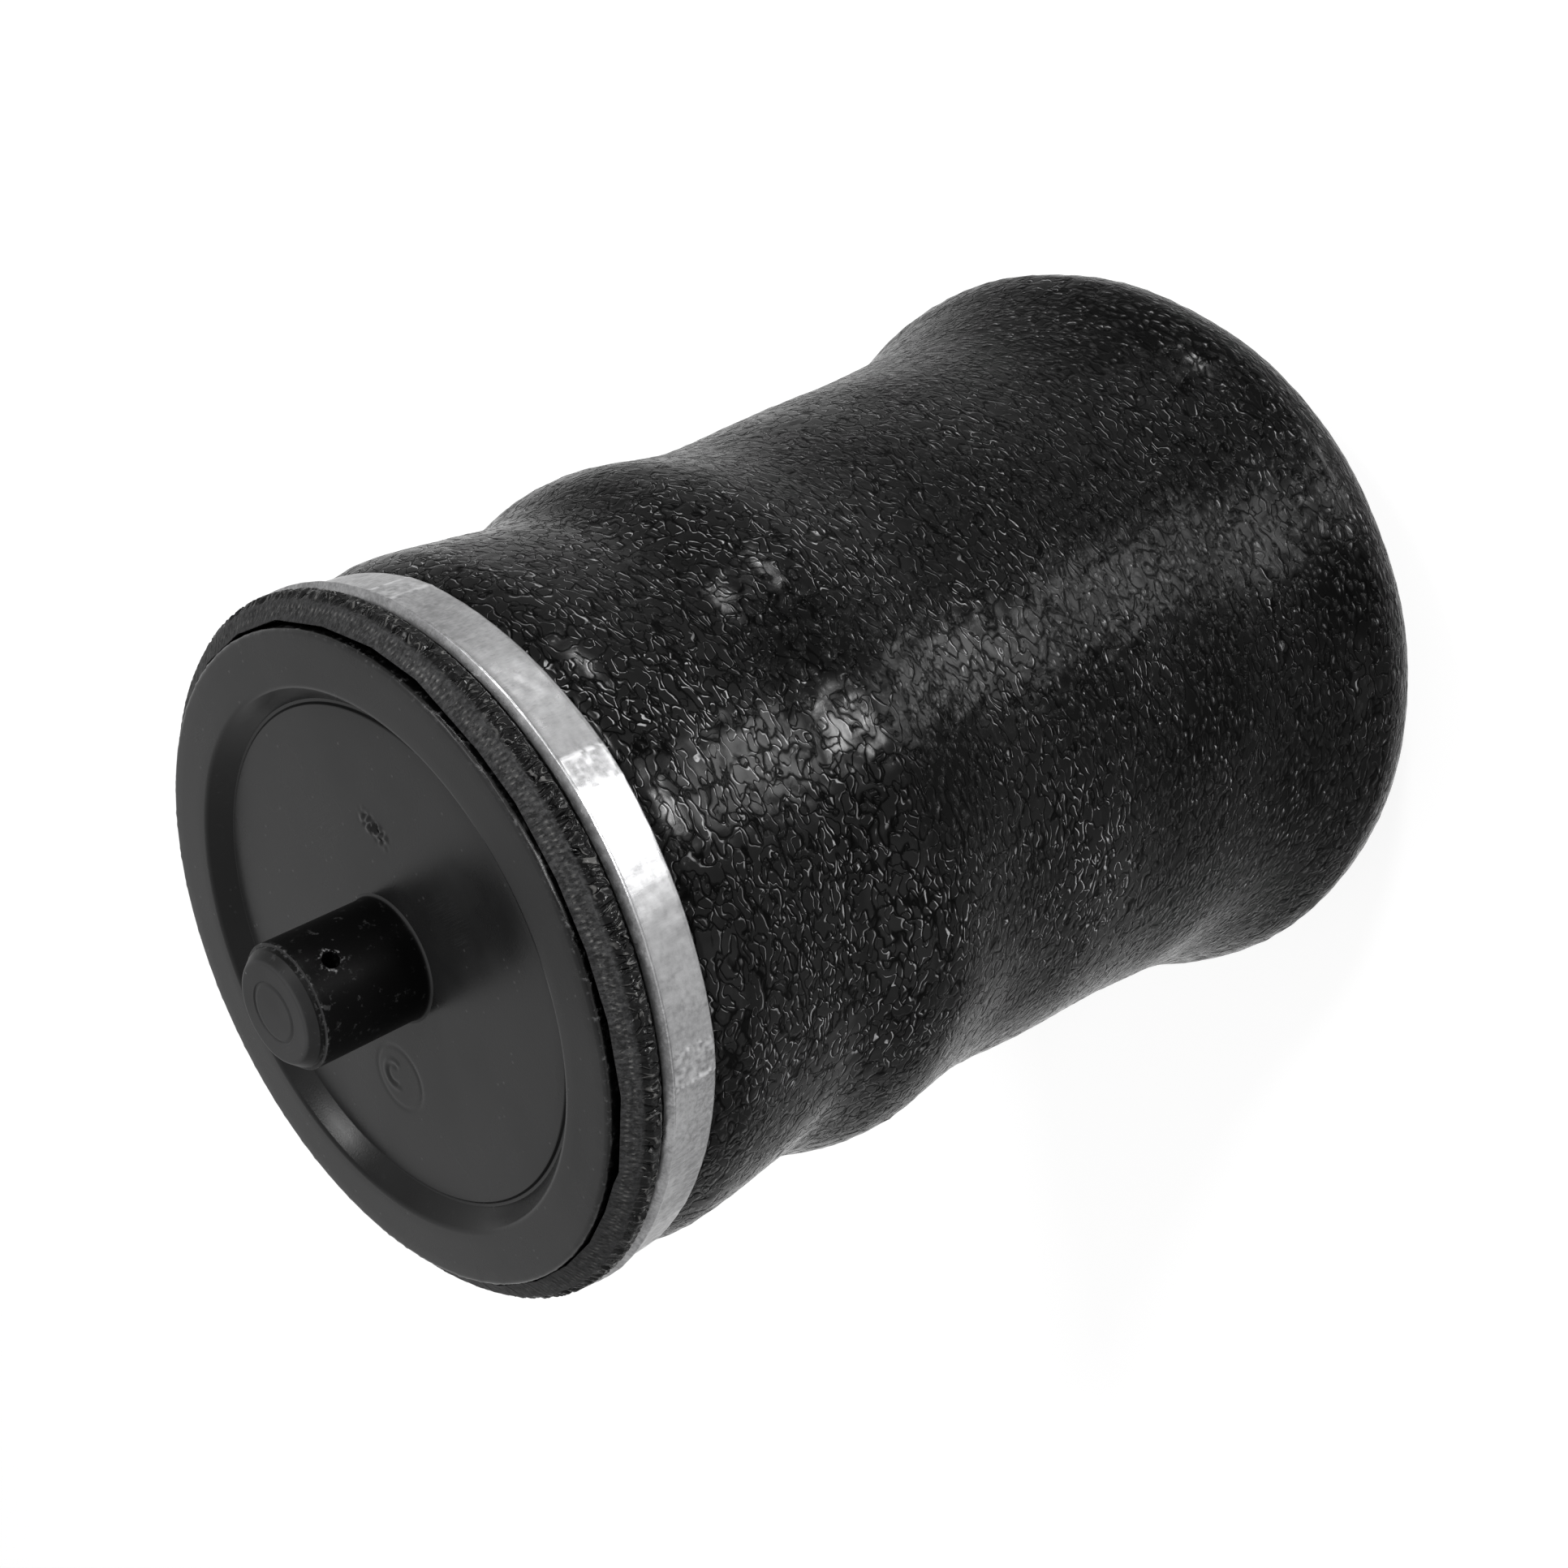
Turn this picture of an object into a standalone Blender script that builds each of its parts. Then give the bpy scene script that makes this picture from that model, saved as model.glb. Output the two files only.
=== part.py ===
"""A rolling-lobe air spring for a car's rear axle, as separate pieces at their real size.

Metres, +Z up. The origin is the centre of the piston's base. The axis of the spring is Z, and the
end plate with its post is at the top.
"""

import math

import bmesh
import bpy

MM = 0.001
GAP = 0.3 * MM
ROUND = 40
PLAIN_ROUND = 24
SMALL_ROUND = 20
SCREW_ROUND = 12
HEXAGON = 6
FILLET_STEPS = 2
CUTTER_TURN = math.radians(5.0)

# Whole spring, from the piston's base to the front of the end plate's rim
SPRING_HEIGHT = 186.0 * MM

# End plate and post
RIM_RADIUS = 50.0 * MM
RIM_EDGE = 0.9 * MM
RECESS_RADIUS = 41.4 * MM
RECESS_FLOOR_RADIUS = 38.4 * MM
RECESS_DEPTH = 2.8 * MM
RECESS_GROOVE = 0.5 * MM
SHOULDER_DEPTH = 4.3 * MM
LAND_RADIUS = 48.0 * MM
LAND_START = 6.3 * MM
PLATE_DEPTH = 19.0 * MM
PLATE_FLOOR = 5.2 * MM
PLATE_SKIRT = 5.5 * MM
PLATE_DRAFT = 1.0 * MM
SKIRT_DRAFT = 1.5 * MM
GRIP_HEIGHT = 0.5 * MM
GRIP_COUNT = 3
PLATE_RIBS = 8
PLATE_RIB_WIDTH = 2.6 * MM
POST_RADIUS = 9.5 * MM
POST_HEIGHT = 17.0 * MM
POST_LIP_HEIGHT = 14.8 * MM
POST_LIP = 0.45 * MM
POST_ROOT_FILLET = 1.2 * MM
POST_TIP_RADIUS = 7.6 * MM
CROSS_HOLE_RADIUS = 1.3 * MM
CROSS_HOLE_HEIGHT = 10.3 * MM
CROSS_HOLE_AZIMUTH = math.radians(-70.0)
STOP_BOSS_RADIUS = 13.0 * MM
STOP_BOSS_DEPTH = 23.0 * MM

# Sleeve: depths are below the rim's front face, heights above the piston's base
SLEEVE_WALL = 3.0 * MM
END_INNER_DEPTH = 1.0 * MM
END_OUTER_DEPTH = 3.9 * MM
END_FLARE = 1.1 * MM
END_RADIUS = 54.3 * MM
NECK_RADIUS = 54.5 * MM
NECK_DEPTH = 19.0 * MM
WAIST_RADIUS = 52.6 * MM
WAIST_DEPTH = 46.5 * MM
BULGE_RADIUS = 56.6 * MM
BULGE_DEPTH = 62.5 * MM
BELT_RADIUS = 54.8 * MM
BELT_DEPTH = 82.0 * MM
LEG_RADIUS = 56.4 * MM
LEG_HEIGHT = 80.0 * MM
FOOT_RADIUS = 58.6 * MM
FOOT_HEIGHT = 49.5 * MM
LOBE_RADIUS = 65.1 * MM
LOBE_BOTTOM = 10.5 * MM
LOBE_DROP = 15.5 * MM
LOBE_STEPS = 7
LEG_STEPS = 2

# Crimp rings
RING_DEPTH = 6.75 * MM
RING_WIDTH = 9.4 * MM
RING_WALL = 2.3 * MM
RING_EDGE = 0.8 * MM
JAW_COUNT = 8
JAW_PRESS = 0.3 * MM
JAW_RIDGE_AZIMUTH = math.radians(-78.2)

# Piston and the closure on its top
PISTON_RADIUS = 38.0 * MM
PISTON_HEIGHT = 94.0 * MM
PISTON_WALL = 3.5 * MM
PISTON_DECK = 8.0 * MM
PISTON_SHOULDER = 10.0 * MM
PISTON_SHOULDER_FILLET = 4.0 * MM
PISTON_CHAMFER = 2.0 * MM
PISTON_RIBS = 12
RIB_WIDTH = 1.6 * MM
RIB_SETBACK = 2.0 * MM
HUB_RADIUS = 11.5 * MM
HUB_TOP_RADIUS = 9.0 * MM
CLOSURE_HEIGHT = 15.7 * MM
CLOSURE_RADIUS = 33.0 * MM
CLOSURE_NECK = 31.0 * MM
CLOSURE_LIP = 32.6 * MM
CLOSURE_LIP_HEIGHT = 3.2 * MM
CLOSURE_DISH_RADIUS = 15.0 * MM
CLOSURE_DISH_DEPTH = 2.0 * MM
LOWER_RING_RISE = 3.3 * MM

# Screws that hold the piston to the closure
SCREW_COUNT = 4
SCREW_CIRCLE = 24.0 * MM
SCREW_RADIUS = 2.5 * MM
SCREW_HEAD_RADIUS = 4.2 * MM
SCREW_HEAD_HEIGHT = 4.5 * MM
SCREW_REACH = 8.0 * MM
INSERT_WALL = 1.3 * MM
INSERT_LENGTH = 9.0 * MM

# Mounting thread in the piston's hub
BASE_BORE_RADIUS = 4.25 * MM
BASE_INSERT_WALL = 2.6 * MM
BASE_INSERT_LENGTH = 18.0 * MM

# Bump stop under the end plate
STOP_RADIUS = 19.0 * MM
STOP_CLEARANCE = 12.7 * MM
STOP_WAIST = 15.5 * MM
STOP_NOSE = 14.5 * MM
STOP_SEAT = 11.0 * MM
STOP_BORE_RADIUS = 10.0 * MM
STOP_SCREW_RADIUS = 4.0 * MM
STOP_SCREW_HEAD = 6.5 * MM
STOP_SCREW_HEAD_HEIGHT = 6.0 * MM
STOP_WASHER = 1.6 * MM
STOP_INSERT_LENGTH = 14.0 * MM

# Air inlet in the piston's base, for a tube of 6 mm
INLET_OFFSET = 22.8 * MM
INLET_BOSS_RADIUS = 10.3 * MM
INLET_BOSS_BOTTOM = 8.0 * MM
INLET_BOSS_TOP = 28.0 * MM
INLET_BOSS_TAPER = 4.0 * MM
INLET_PIPE_RADIUS = 5.5 * MM
AIR_RADIUS = 2.4 * MM
TUBE_RADIUS = 3.1 * MM
FITTING_RADIUS = 7.2 * MM
FITTING_LENGTH = 15.0 * MM
FITTING_FLANGE = 8.9 * MM
FITTING_FLANGE_HEIGHT = 3.2 * MM
FITTING_MOUTH_RADIUS = 6.0 * MM
FITTING_MOUTH_DEPTH = 11.5 * MM
COLLET_STEM_RADIUS = 4.1 * MM
COLLET_HEAD_RADIUS = 5.6 * MM
COLLET_HEAD_HEIGHT = 1.3 * MM
COLLET_TRAVEL = 1.2 * MM
COLLET_LENGTH = 9.6 * MM
COLLET_GRIP_RADIUS = 4.7 * MM
COLLET_SLOTS = 4
COLLET_SLOT_WIDTH = 0.8 * MM
RETAINER_HEIGHT = 3.4 * MM
SEAL_CORD = 0.8 * MM

# Levels that several pieces share
RIM_Z = SPRING_HEIGHT
RING_TOP = RIM_Z - RING_DEPTH
RING_BOTTOM = RING_TOP - RING_WIDTH
CLOSURE_BOTTOM = PISTON_HEIGHT + GAP
CLOSURE_TOP = CLOSURE_BOTTOM + CLOSURE_HEIGHT
LOWER_RING_BOTTOM = CLOSURE_BOTTOM + LOWER_RING_RISE
LOWER_RING_TOP = LOWER_RING_BOTTOM + RING_WIDTH
DECK_UNDERSIDE = PISTON_HEIGHT - PISTON_DECK
STOP_TOP = RIM_Z - STOP_BOSS_DEPTH - GAP
STOP_LENGTH = STOP_TOP - CLOSURE_TOP - STOP_CLEARANCE
FLANGE_TOP = INLET_BOSS_BOTTOM - GAP
FLANGE_BOTTOM = FLANGE_TOP - FITTING_FLANGE_HEIGHT

# Finishes: colour, roughness, metallic
FINISHES = {
    "plate_plastic": ((0.052, 0.052, 0.053, 1.0), 0.62, 0.0),
    "piston_plastic": ((0.030, 0.030, 0.031, 1.0), 0.55, 0.0),
    "sleeve_rubber": ((0.013, 0.013, 0.014, 1.0), 0.42, 0.0),
    "seal_rubber": ((0.010, 0.010, 0.010, 1.0), 0.50, 0.0),
    "stop_foam": ((0.120, 0.105, 0.070, 1.0), 0.85, 0.0),
    "ring_aluminium": ((0.560, 0.560, 0.570, 1.0), 0.38, 1.0),
    "screw_steel": ((0.450, 0.450, 0.460, 1.0), 0.35, 1.0),
    "insert_brass": ((0.600, 0.430, 0.180, 1.0), 0.35, 1.0),
    "collet_plastic": ((0.020, 0.020, 0.021, 1.0), 0.45, 0.0),
}


def clear_scene():
    """Remove every object that the scene starts with."""
    for thing in list(bpy.data.objects):
        bpy.data.objects.remove(thing, do_unlink=True)


def finish(name):
    """The material of this name, made on first use."""
    found = bpy.data.materials.get(name)
    if found:
        return found
    colour, roughness, metallic = FINISHES[name]
    made = bpy.data.materials.new(name)
    made.use_nodes = True
    shader = made.node_tree.nodes["Principled BSDF"]
    shader.inputs["Base Color"].default_value = colour
    shader.inputs["Roughness"].default_value = roughness
    shader.inputs["Metallic"].default_value = metallic
    made.diffuse_color = colour
    return made


def add_object(name, shape, material_name):
    """Turn a bmesh into a smooth-shaded object with its material."""
    bmesh.ops.remove_doubles(shape, verts=shape.verts, dist=0.001 * MM)
    bmesh.ops.recalc_face_normals(shape, faces=shape.faces)
    mesh = bpy.data.meshes.new(name)
    shape.to_mesh(mesh)
    shape.free()
    mesh.shade_smooth()
    mesh.set_sharp_from_angle(angle=math.radians(32))
    mesh.materials.append(finish(material_name))
    made = bpy.data.objects.new(name, mesh)
    bpy.context.scene.collection.objects.link(made)
    return made


def arc(centre, radii, start, end, steps):
    """Points (radius, height) of an elliptical arc, its angles in degrees."""
    angles = [math.radians(start + (end - start) * step / steps) for step in range(steps + 1)]
    return [(centre[0] + radii[0] * math.cos(a), centre[1] + radii[1] * math.sin(a)) for a in angles]


def filleted(corners):
    """An outline from corners (radius, height) or (radius, height, fillet), fillets as arcs."""
    outline = []
    count = len(corners)
    for place, corner in enumerate(corners):
        here = corner[:2]
        if len(corner) == 2:
            outline.append(here)
            continue
        before = corners[place - 1][:2]
        after = corners[(place + 1) % count][:2]
        outline += fillet_points(before, here, after, corner[2])
    return outline


def fillet_points(before, here, after, size):
    """A round of the corner at here, of this size where its two sides have room for it."""
    first = unit(here, before)
    second = unit(here, after)
    room = 0.45 * min(math.dist(here, before), math.dist(here, after))
    half = 0.5 * math.acos(max(-1.0, min(1.0, first[0] * second[0] + first[1] * second[1])))
    reach = min(size / math.tan(half), room)
    start = (here[0] + first[0] * reach, here[1] + first[1] * reach)
    end = (here[0] + second[0] * reach, here[1] + second[1] * reach)
    points = []
    for step in range(FILLET_STEPS + 1):
        t = step / FILLET_STEPS
        weights = ((1 - t) ** 2, 2 * t * (1 - t), t**2)
        points.append(
            tuple(sum(w * p[axis] for w, p in zip(weights, (start, here, end))) for axis in (0, 1))
        )
    return points


def unit(origin, target):
    """The direction from one point to another, of length 1."""
    length = math.dist(origin, target)
    return ((target[0] - origin[0]) / length, (target[1] - origin[1]) / length)


def flowing(stations, steps):
    """A smooth curve through stations (radius, height), with this many steps between each two."""
    padded = [stations[0]] + list(stations) + [stations[-1]]
    points = []
    for a, b, c, d in zip(padded, padded[1:], padded[2:], padded[3:]):
        for step in range(steps):
            t = step / steps
            points.append(
                tuple(
                    0.5
                    * (
                        2 * b[k]
                        + (c[k] - a[k]) * t
                        + (2 * a[k] - 5 * b[k] + 4 * c[k] - d[k]) * t**2
                        + (3 * b[k] - a[k] - 3 * c[k] + d[k]) * t**3
                    )
                    for k in (0, 1)
                )
            )
    return points + [tuple(stations[-1])]


def inset(path, distance):
    """The path moved sideways by this distance, to its left where it runs downwards."""
    moved = []
    for place, point in enumerate(path):
        before = path[max(place - 1, 0)]
        after = path[min(place + 1, len(path) - 1)]
        along = unit(before, after)
        moved.append((point[0] + along[1] * distance, point[1] - along[0] * distance))
    return moved


def turned(name, outline, material_name, segments=ROUND, centre=(0.0, 0.0), start=0.0):
    """Spin a closed outline (radius, height) about a vertical axis, from this azimuth."""
    shape = bmesh.new()
    corners = [shape.verts.new((*at(start, radius), height)) for radius, height in outline]
    radii = [radius for radius, height in outline]
    pairs = zip(corners, corners[1:] + corners[:1], radii, radii[1:] + radii[:1])
    edges = [shape.edges.new((a, b)) for a, b, radius, next_radius in pairs if radius + next_radius > 0.0]
    bmesh.ops.spin(
        shape,
        geom=corners + edges,
        cent=(0.0, 0.0, 0.0),
        axis=(0.0, 0.0, 1.0),
        angle=math.tau,
        steps=segments,
        use_merge=True,
    )
    bmesh.ops.translate(shape, verts=shape.verts, vec=(centre[0], centre[1], 0.0))
    return add_object(name, shape, material_name)


def rod(name, radius, bottom, top, centre=(0.0, 0.0), segments=SMALL_ROUND):
    """A plain upright cylinder for cutting, its facets turned so that no corner meets another piece's."""
    outline = [(0.0, bottom), (radius, bottom), (radius, top), (0.0, top)]
    return turned(name, outline, "piston_plastic", segments, centre, CUTTER_TURN)


def seal_ring(name, radius, cord, height, centre=(0.0, 0.0), segments=SMALL_ROUND):
    """An O-ring that lies flat."""
    outline = arc((radius, height), (cord, cord), 0, 360, 6)[:-1]
    return turned(name, outline, "seal_rubber", segments, centre)


def slab(name, azimuth, corners, width, material_name):
    """An upright plate of this outline (radius, height) that runs outwards at this azimuth."""
    shape = bmesh.new()
    left = [shape.verts.new((radius, -0.5 * width, height)) for radius, height in corners]
    right = [shape.verts.new((radius, 0.5 * width, height)) for radius, height in corners]
    shape.faces.new(left)
    shape.faces.new(right)
    for a, b, c, d in zip(left, left[1:] + left[:1], right[1:] + right[:1], right):
        shape.faces.new((a, b, c, d))
    turn_about_axis(shape, azimuth)
    return add_object(name, shape, material_name)


def turn_about_axis(shape, azimuth):
    """Turn a bmesh about the spring's axis."""
    cosine, sine = math.cos(azimuth), math.sin(azimuth)
    for vertex in shape.verts:
        x, y = vertex.co.x, vertex.co.y
        vertex.co.x = x * cosine - y * sine
        vertex.co.y = x * sine + y * cosine


def cut(target, tool):
    """Cut a tool's shape out of a piece, and keep the tool out of the model."""
    step = target.modifiers.new(tool.name, "BOOLEAN")
    step.operation = "DIFFERENCE"
    step.solver = "EXACT"
    step.object = tool
    tool.hide_render = True
    tool.display_type = "WIRE"


def around(count, start=0.0):
    """Evenly spaced azimuths."""
    return [start + math.tau * step / count for step in range(count)]


def at(azimuth, radius):
    """The point (x, y) at this azimuth and distance from the axis."""
    return (radius * math.cos(azimuth), radius * math.sin(azimuth))


def grip_ridges(radius, bottom, top, count, size):
    """Points up a clamping land with rounded ridges that bite into the sleeve."""
    pitch = (top - bottom) / (count + 1)
    points = [(radius - size, bottom)]
    for ridge in range(1, count + 1):
        middle = bottom + pitch * ridge
        points += [(radius, middle), (radius - size, middle + 0.5 * pitch)]
    return points


def end_plate():
    """The moulded plate: rim, recess, post with its lip and cross hole, clamping land and boss."""
    skirt = LAND_RADIUS - PLATE_SKIRT
    insert_radius = STOP_SCREW_RADIUS + INSERT_WALL + GAP
    insert_top = RIM_Z - STOP_BOSS_DEPTH + STOP_INSERT_LENGTH + GAP
    boss_bottom = RIM_Z - STOP_BOSS_DEPTH
    under = RIM_Z - RECESS_DEPTH - PLATE_FLOOR
    floor = RIM_Z - RECESS_DEPTH
    bottom = RIM_Z - PLATE_DEPTH
    outline = filleted(
        [
            (0.0, RIM_Z + POST_HEIGHT),
            (0.0, insert_top),
            (insert_radius, insert_top),
            (insert_radius, boss_bottom),
            (STOP_BOSS_RADIUS, boss_bottom),
            (STOP_BOSS_RADIUS + PLATE_DRAFT, under),
            (skirt - SKIRT_DRAFT, under),
            (skirt, bottom),
            (LAND_RADIUS - 1.5 * MM, bottom),
        ]
        + grip_ridges(LAND_RADIUS, RING_BOTTOM - 1.0 * MM, RIM_Z - LAND_START, GRIP_COUNT, GRIP_HEIGHT)
        + [
            (RIM_RADIUS, RIM_Z - SHOULDER_DEPTH, 0.5 * MM),
            (RIM_RADIUS, RIM_Z, RIM_EDGE),
            (RECESS_RADIUS, RIM_Z, RIM_EDGE),
            (RECESS_FLOOR_RADIUS + RECESS_GROOVE, floor - RECESS_GROOVE),
            (RECESS_FLOOR_RADIUS, floor - RECESS_GROOVE),
            (RECESS_FLOOR_RADIUS - RECESS_GROOVE, floor),
            (POST_RADIUS, floor, POST_ROOT_FILLET),
            (POST_RADIUS, RIM_Z + POST_LIP_HEIGHT),
            (POST_RADIUS - POST_LIP, RIM_Z + POST_LIP_HEIGHT),
            (POST_TIP_RADIUS, RIM_Z + POST_HEIGHT, 1.2 * MM),
        ]
    )
    plate = turned("end_plate", outline, "plate_plastic")
    cut(plate, cross_hole_cutter())
    return plate


def plate_ribs():
    """The ribs under the end plate, between its boss and its skirt, as objects of their own."""
    start = STOP_BOSS_RADIUS + PLATE_DRAFT + GAP
    end = (LAND_RADIUS - PLATE_SKIRT - SKIRT_DRAFT) * math.cos(math.pi / ROUND) - GAP
    bottom = RIM_Z - PLATE_DEPTH + RIB_SETBACK
    top = RIM_Z - RECESS_DEPTH - PLATE_FLOOR - GAP
    corners = [(start, bottom), (end, bottom), (end, top), (start, top)]
    for number, azimuth in enumerate(around(PLATE_RIBS, 0.5 * math.tau / PLATE_RIBS), 1):
        slab(f"plate_rib_{number}", azimuth, corners, PLATE_RIB_WIDTH, "plate_plastic")


def cross_hole_cutter():
    """A level rod through the post."""
    shape = bmesh.new()
    bmesh.ops.create_cone(
        shape,
        cap_ends=True,
        segments=16,
        radius1=CROSS_HOLE_RADIUS,
        radius2=CROSS_HOLE_RADIUS,
        depth=3 * POST_RADIUS,
    )
    for vertex in shape.verts:
        vertex.co.x, vertex.co.z = vertex.co.z, vertex.co.x + RIM_Z + CROSS_HOLE_HEIGHT
    turn_about_axis(shape, CROSS_HOLE_AZIMUTH)
    return add_object("cross_hole", shape, "plate_plastic")


def outer_leg(steps):
    """The cover side of the sleeve's outer leg, from below the upper ring to the lobe's crest."""
    crest = LOBE_BOTTOM + LOBE_DROP
    stations = [
        (NECK_RADIUS, RIM_Z - NECK_DEPTH),
        (0.5 * (NECK_RADIUS + WAIST_RADIUS) + 0.3 * MM, RIM_Z - 0.5 * (NECK_DEPTH + WAIST_DEPTH)),
        (WAIST_RADIUS, RIM_Z - WAIST_DEPTH),
        (BULGE_RADIUS, RIM_Z - BULGE_DEPTH),
        (BELT_RADIUS, RIM_Z - BELT_DEPTH),
        (LEG_RADIUS, LEG_HEIGHT),
        (FOOT_RADIUS, FOOT_HEIGHT),
        (LOBE_RADIUS, crest),
    ]
    return flowing(stations, steps)


def lobe(radius_in, radius_out, drop, steps):
    """Half an ellipse that turns from the outer leg up into the inner leg."""
    centre = (0.5 * (radius_in + radius_out), LOBE_BOTTOM + LOBE_DROP)
    half_width = 0.5 * (radius_out - radius_in)
    return arc(centre, (half_width, drop), 0, -180, steps)


def sleeve():
    """The rubber sleeve: flared cut end, clamped neck, outer leg, rolled lobe, inner leg, lower neck."""
    liner_leg = inset(outer_leg(1), SLEEVE_WALL)
    cover_in = PISTON_RADIUS + GAP
    liner_in = cover_in + SLEEVE_WALL
    land = LAND_RADIUS + GAP
    outside = land + SLEEVE_WALL
    cover = [
        (END_RADIUS, RIM_Z - END_OUTER_DEPTH),
        (END_RADIUS - 0.2 * MM, RING_TOP + GAP),
        (outside, RING_TOP + GAP),
        (outside, RING_BOTTOM - GAP),
        (NECK_RADIUS - 0.3 * MM, RING_BOTTOM - GAP),
    ]
    cover += outer_leg(LEG_STEPS) + lobe(cover_in, LOBE_RADIUS, LOBE_DROP, LOBE_STEPS)[1:]
    lower_land = CLOSURE_NECK + GAP
    shoulder = PISTON_HEIGHT - PISTON_SHOULDER
    flare = CLOSURE_LIP + GAP
    end_top = CLOSURE_TOP - 1.2 * MM
    lip_start = LOWER_RING_TOP + GAP
    seat_radius = CLOSURE_RADIUS + 2 * GAP
    cover += [
        (cover_in, shoulder),
        (seat_radius, PISTON_HEIGHT),
        (seat_radius, CLOSURE_BOTTOM + 0.6 * LOWER_RING_RISE),
        (lower_land, LOWER_RING_BOTTOM),
        (lower_land, LOWER_RING_TOP - 0.8 * MM),
        (flare, CLOSURE_TOP - CLOSURE_LIP_HEIGHT + MM),
        (flare, end_top),
    ]
    liner = [
        (flare + SLEEVE_WALL, end_top),
        (flare + SLEEVE_WALL, lip_start),
        (lower_land + SLEEVE_WALL, lip_start),
        (lower_land + SLEEVE_WALL, LOWER_RING_BOTTOM - GAP),
        (seat_radius + SLEEVE_WALL, LOWER_RING_BOTTOM - GAP),
        (seat_radius + SLEEVE_WALL, PISTON_HEIGHT + 0.5 * MM),
        (liner_in, shoulder + 0.8 * MM),
    ]
    inner_drop = LOBE_DROP - SLEEVE_WALL
    inner_lobe = lobe(liner_in, LOBE_RADIUS - SLEEVE_WALL, inner_drop, LOBE_STEPS // 2)
    liner += list(reversed(inner_lobe)) + list(reversed(liner_leg[:-1]))
    liner += [
        (land, RING_BOTTOM - 0.6 * MM),
        (land, RIM_Z - LAND_START - 1.0 * MM),
        (RIM_RADIUS + GAP, RIM_Z - SHOULDER_DEPTH - 0.4 * MM),
        (RIM_RADIUS + END_FLARE, RIM_Z - END_INNER_DEPTH),
    ]
    return turned("sleeve", cover + liner, "sleeve_rubber")


def crimp_ring(name, inner, bottom):
    """A swaged ring, pressed in between the narrow ridges that the crimping jaws leave."""
    outer = inner + RING_WALL
    top = bottom + RING_WIDTH
    outline = filleted(
        [
            (inner, bottom),
            (outer, bottom, RING_EDGE),
            (outer, top, RING_EDGE),
            (inner, top),
        ]
    )
    ring = turned(name, outline, "ring_aluminium")
    half_ridge = math.pi / ROUND
    turn = JAW_RIDGE_AZIMUTH + half_ridge
    for vertex in ring.data.vertices:
        radius = math.hypot(vertex.co.x, vertex.co.y)
        azimuth = math.atan2(vertex.co.y, vertex.co.x)
        step = round(azimuth * ROUND / math.tau) % (ROUND // JAW_COUNT)
        pressed = radius > inner + 0.4 * RING_WALL and step > 1
        radius -= JAW_PRESS if pressed else 0.0
        vertex.co.x, vertex.co.y = at(azimuth + turn - 2 * half_ridge, radius)
    return ring


def piston():
    """The moulded piston. Its cup, hub, inlet and ribs are objects of their own, a gap apart."""
    piston_cup()
    piston_hub()
    piston_inlet()
    inside = (PISTON_RADIUS - PISTON_WALL) * math.cos(math.pi / ROUND) - GAP
    top = DECK_UNDERSIDE - GAP
    corners = [
        (HUB_RADIUS + GAP, RIB_SETBACK),
        (inside, RIB_SETBACK),
        (inside, top),
        (HUB_TOP_RADIUS + GAP, top),
    ]
    for number, azimuth in enumerate(rib_azimuths(), 1):
        slab(f"piston_rib_{number}", azimuth, corners, RIB_WIDTH, "piston_plastic")


def piston_cup():
    """The wall that the lobe rolls on, and the deck, with its screw holes and its air passage."""
    inside = PISTON_RADIUS - PISTON_WALL
    outline = filleted(
        [
            (0.0, PISTON_HEIGHT),
            (0.0, DECK_UNDERSIDE),
            (inside, DECK_UNDERSIDE),
            (inside, 0.0),
            (PISTON_RADIUS - PISTON_CHAMFER, 0.0, 0.5 * MM),
            (PISTON_RADIUS, PISTON_CHAMFER, 1.0 * MM),
            (PISTON_RADIUS, PISTON_HEIGHT - PISTON_SHOULDER, PISTON_SHOULDER_FILLET),
            (CLOSURE_RADIUS, PISTON_HEIGHT, 1.0 * MM),
        ]
    )
    cup = turned("piston", outline, "piston_plastic")
    cut(cup, deck_air_cutter())
    for azimuth in screw_azimuths():
        centre = at(azimuth, SCREW_CIRCLE)
        radius = SCREW_RADIUS + GAP
        cut(cup, rod("screw_hole", radius, DECK_UNDERSIDE - MM, PISTON_HEIGHT + MM, centre, SCREW_ROUND))
    return cup


def deck_air_cutter():
    """The air passage through the deck, with the groove of its seal."""
    groove = AIR_RADIUS + 2 * SEAL_CORD + 3 * GAP
    groove_bottom = PISTON_HEIGHT - 2 * SEAL_CORD
    outline = [
        (0.0, DECK_UNDERSIDE - MM),
        (AIR_RADIUS, DECK_UNDERSIDE - MM),
        (AIR_RADIUS, groove_bottom),
        (groove, groove_bottom),
        (groove, PISTON_HEIGHT + MM),
        (0.0, PISTON_HEIGHT + MM),
    ]
    centre = (INLET_OFFSET, 0.0)
    return turned("deck_passage", outline, "piston_plastic", SMALL_ROUND, centre, CUTTER_TURN)


def piston_hub():
    """The tapered hub, with the pocket of the mounting thread's insert."""
    pocket_radius = BASE_BORE_RADIUS + BASE_INSERT_WALL + GAP
    pocket_top = BASE_INSERT_LENGTH + 2 * GAP
    outline = [
        (0.0, DECK_UNDERSIDE - GAP),
        (0.0, pocket_top),
        (pocket_radius, pocket_top),
        (pocket_radius, 0.0),
        (HUB_RADIUS, 0.0),
        (HUB_TOP_RADIUS, DECK_UNDERSIDE - GAP),
    ]
    return turned("piston_hub", outline, "piston_plastic", segments=PLAIN_ROUND)


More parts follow.
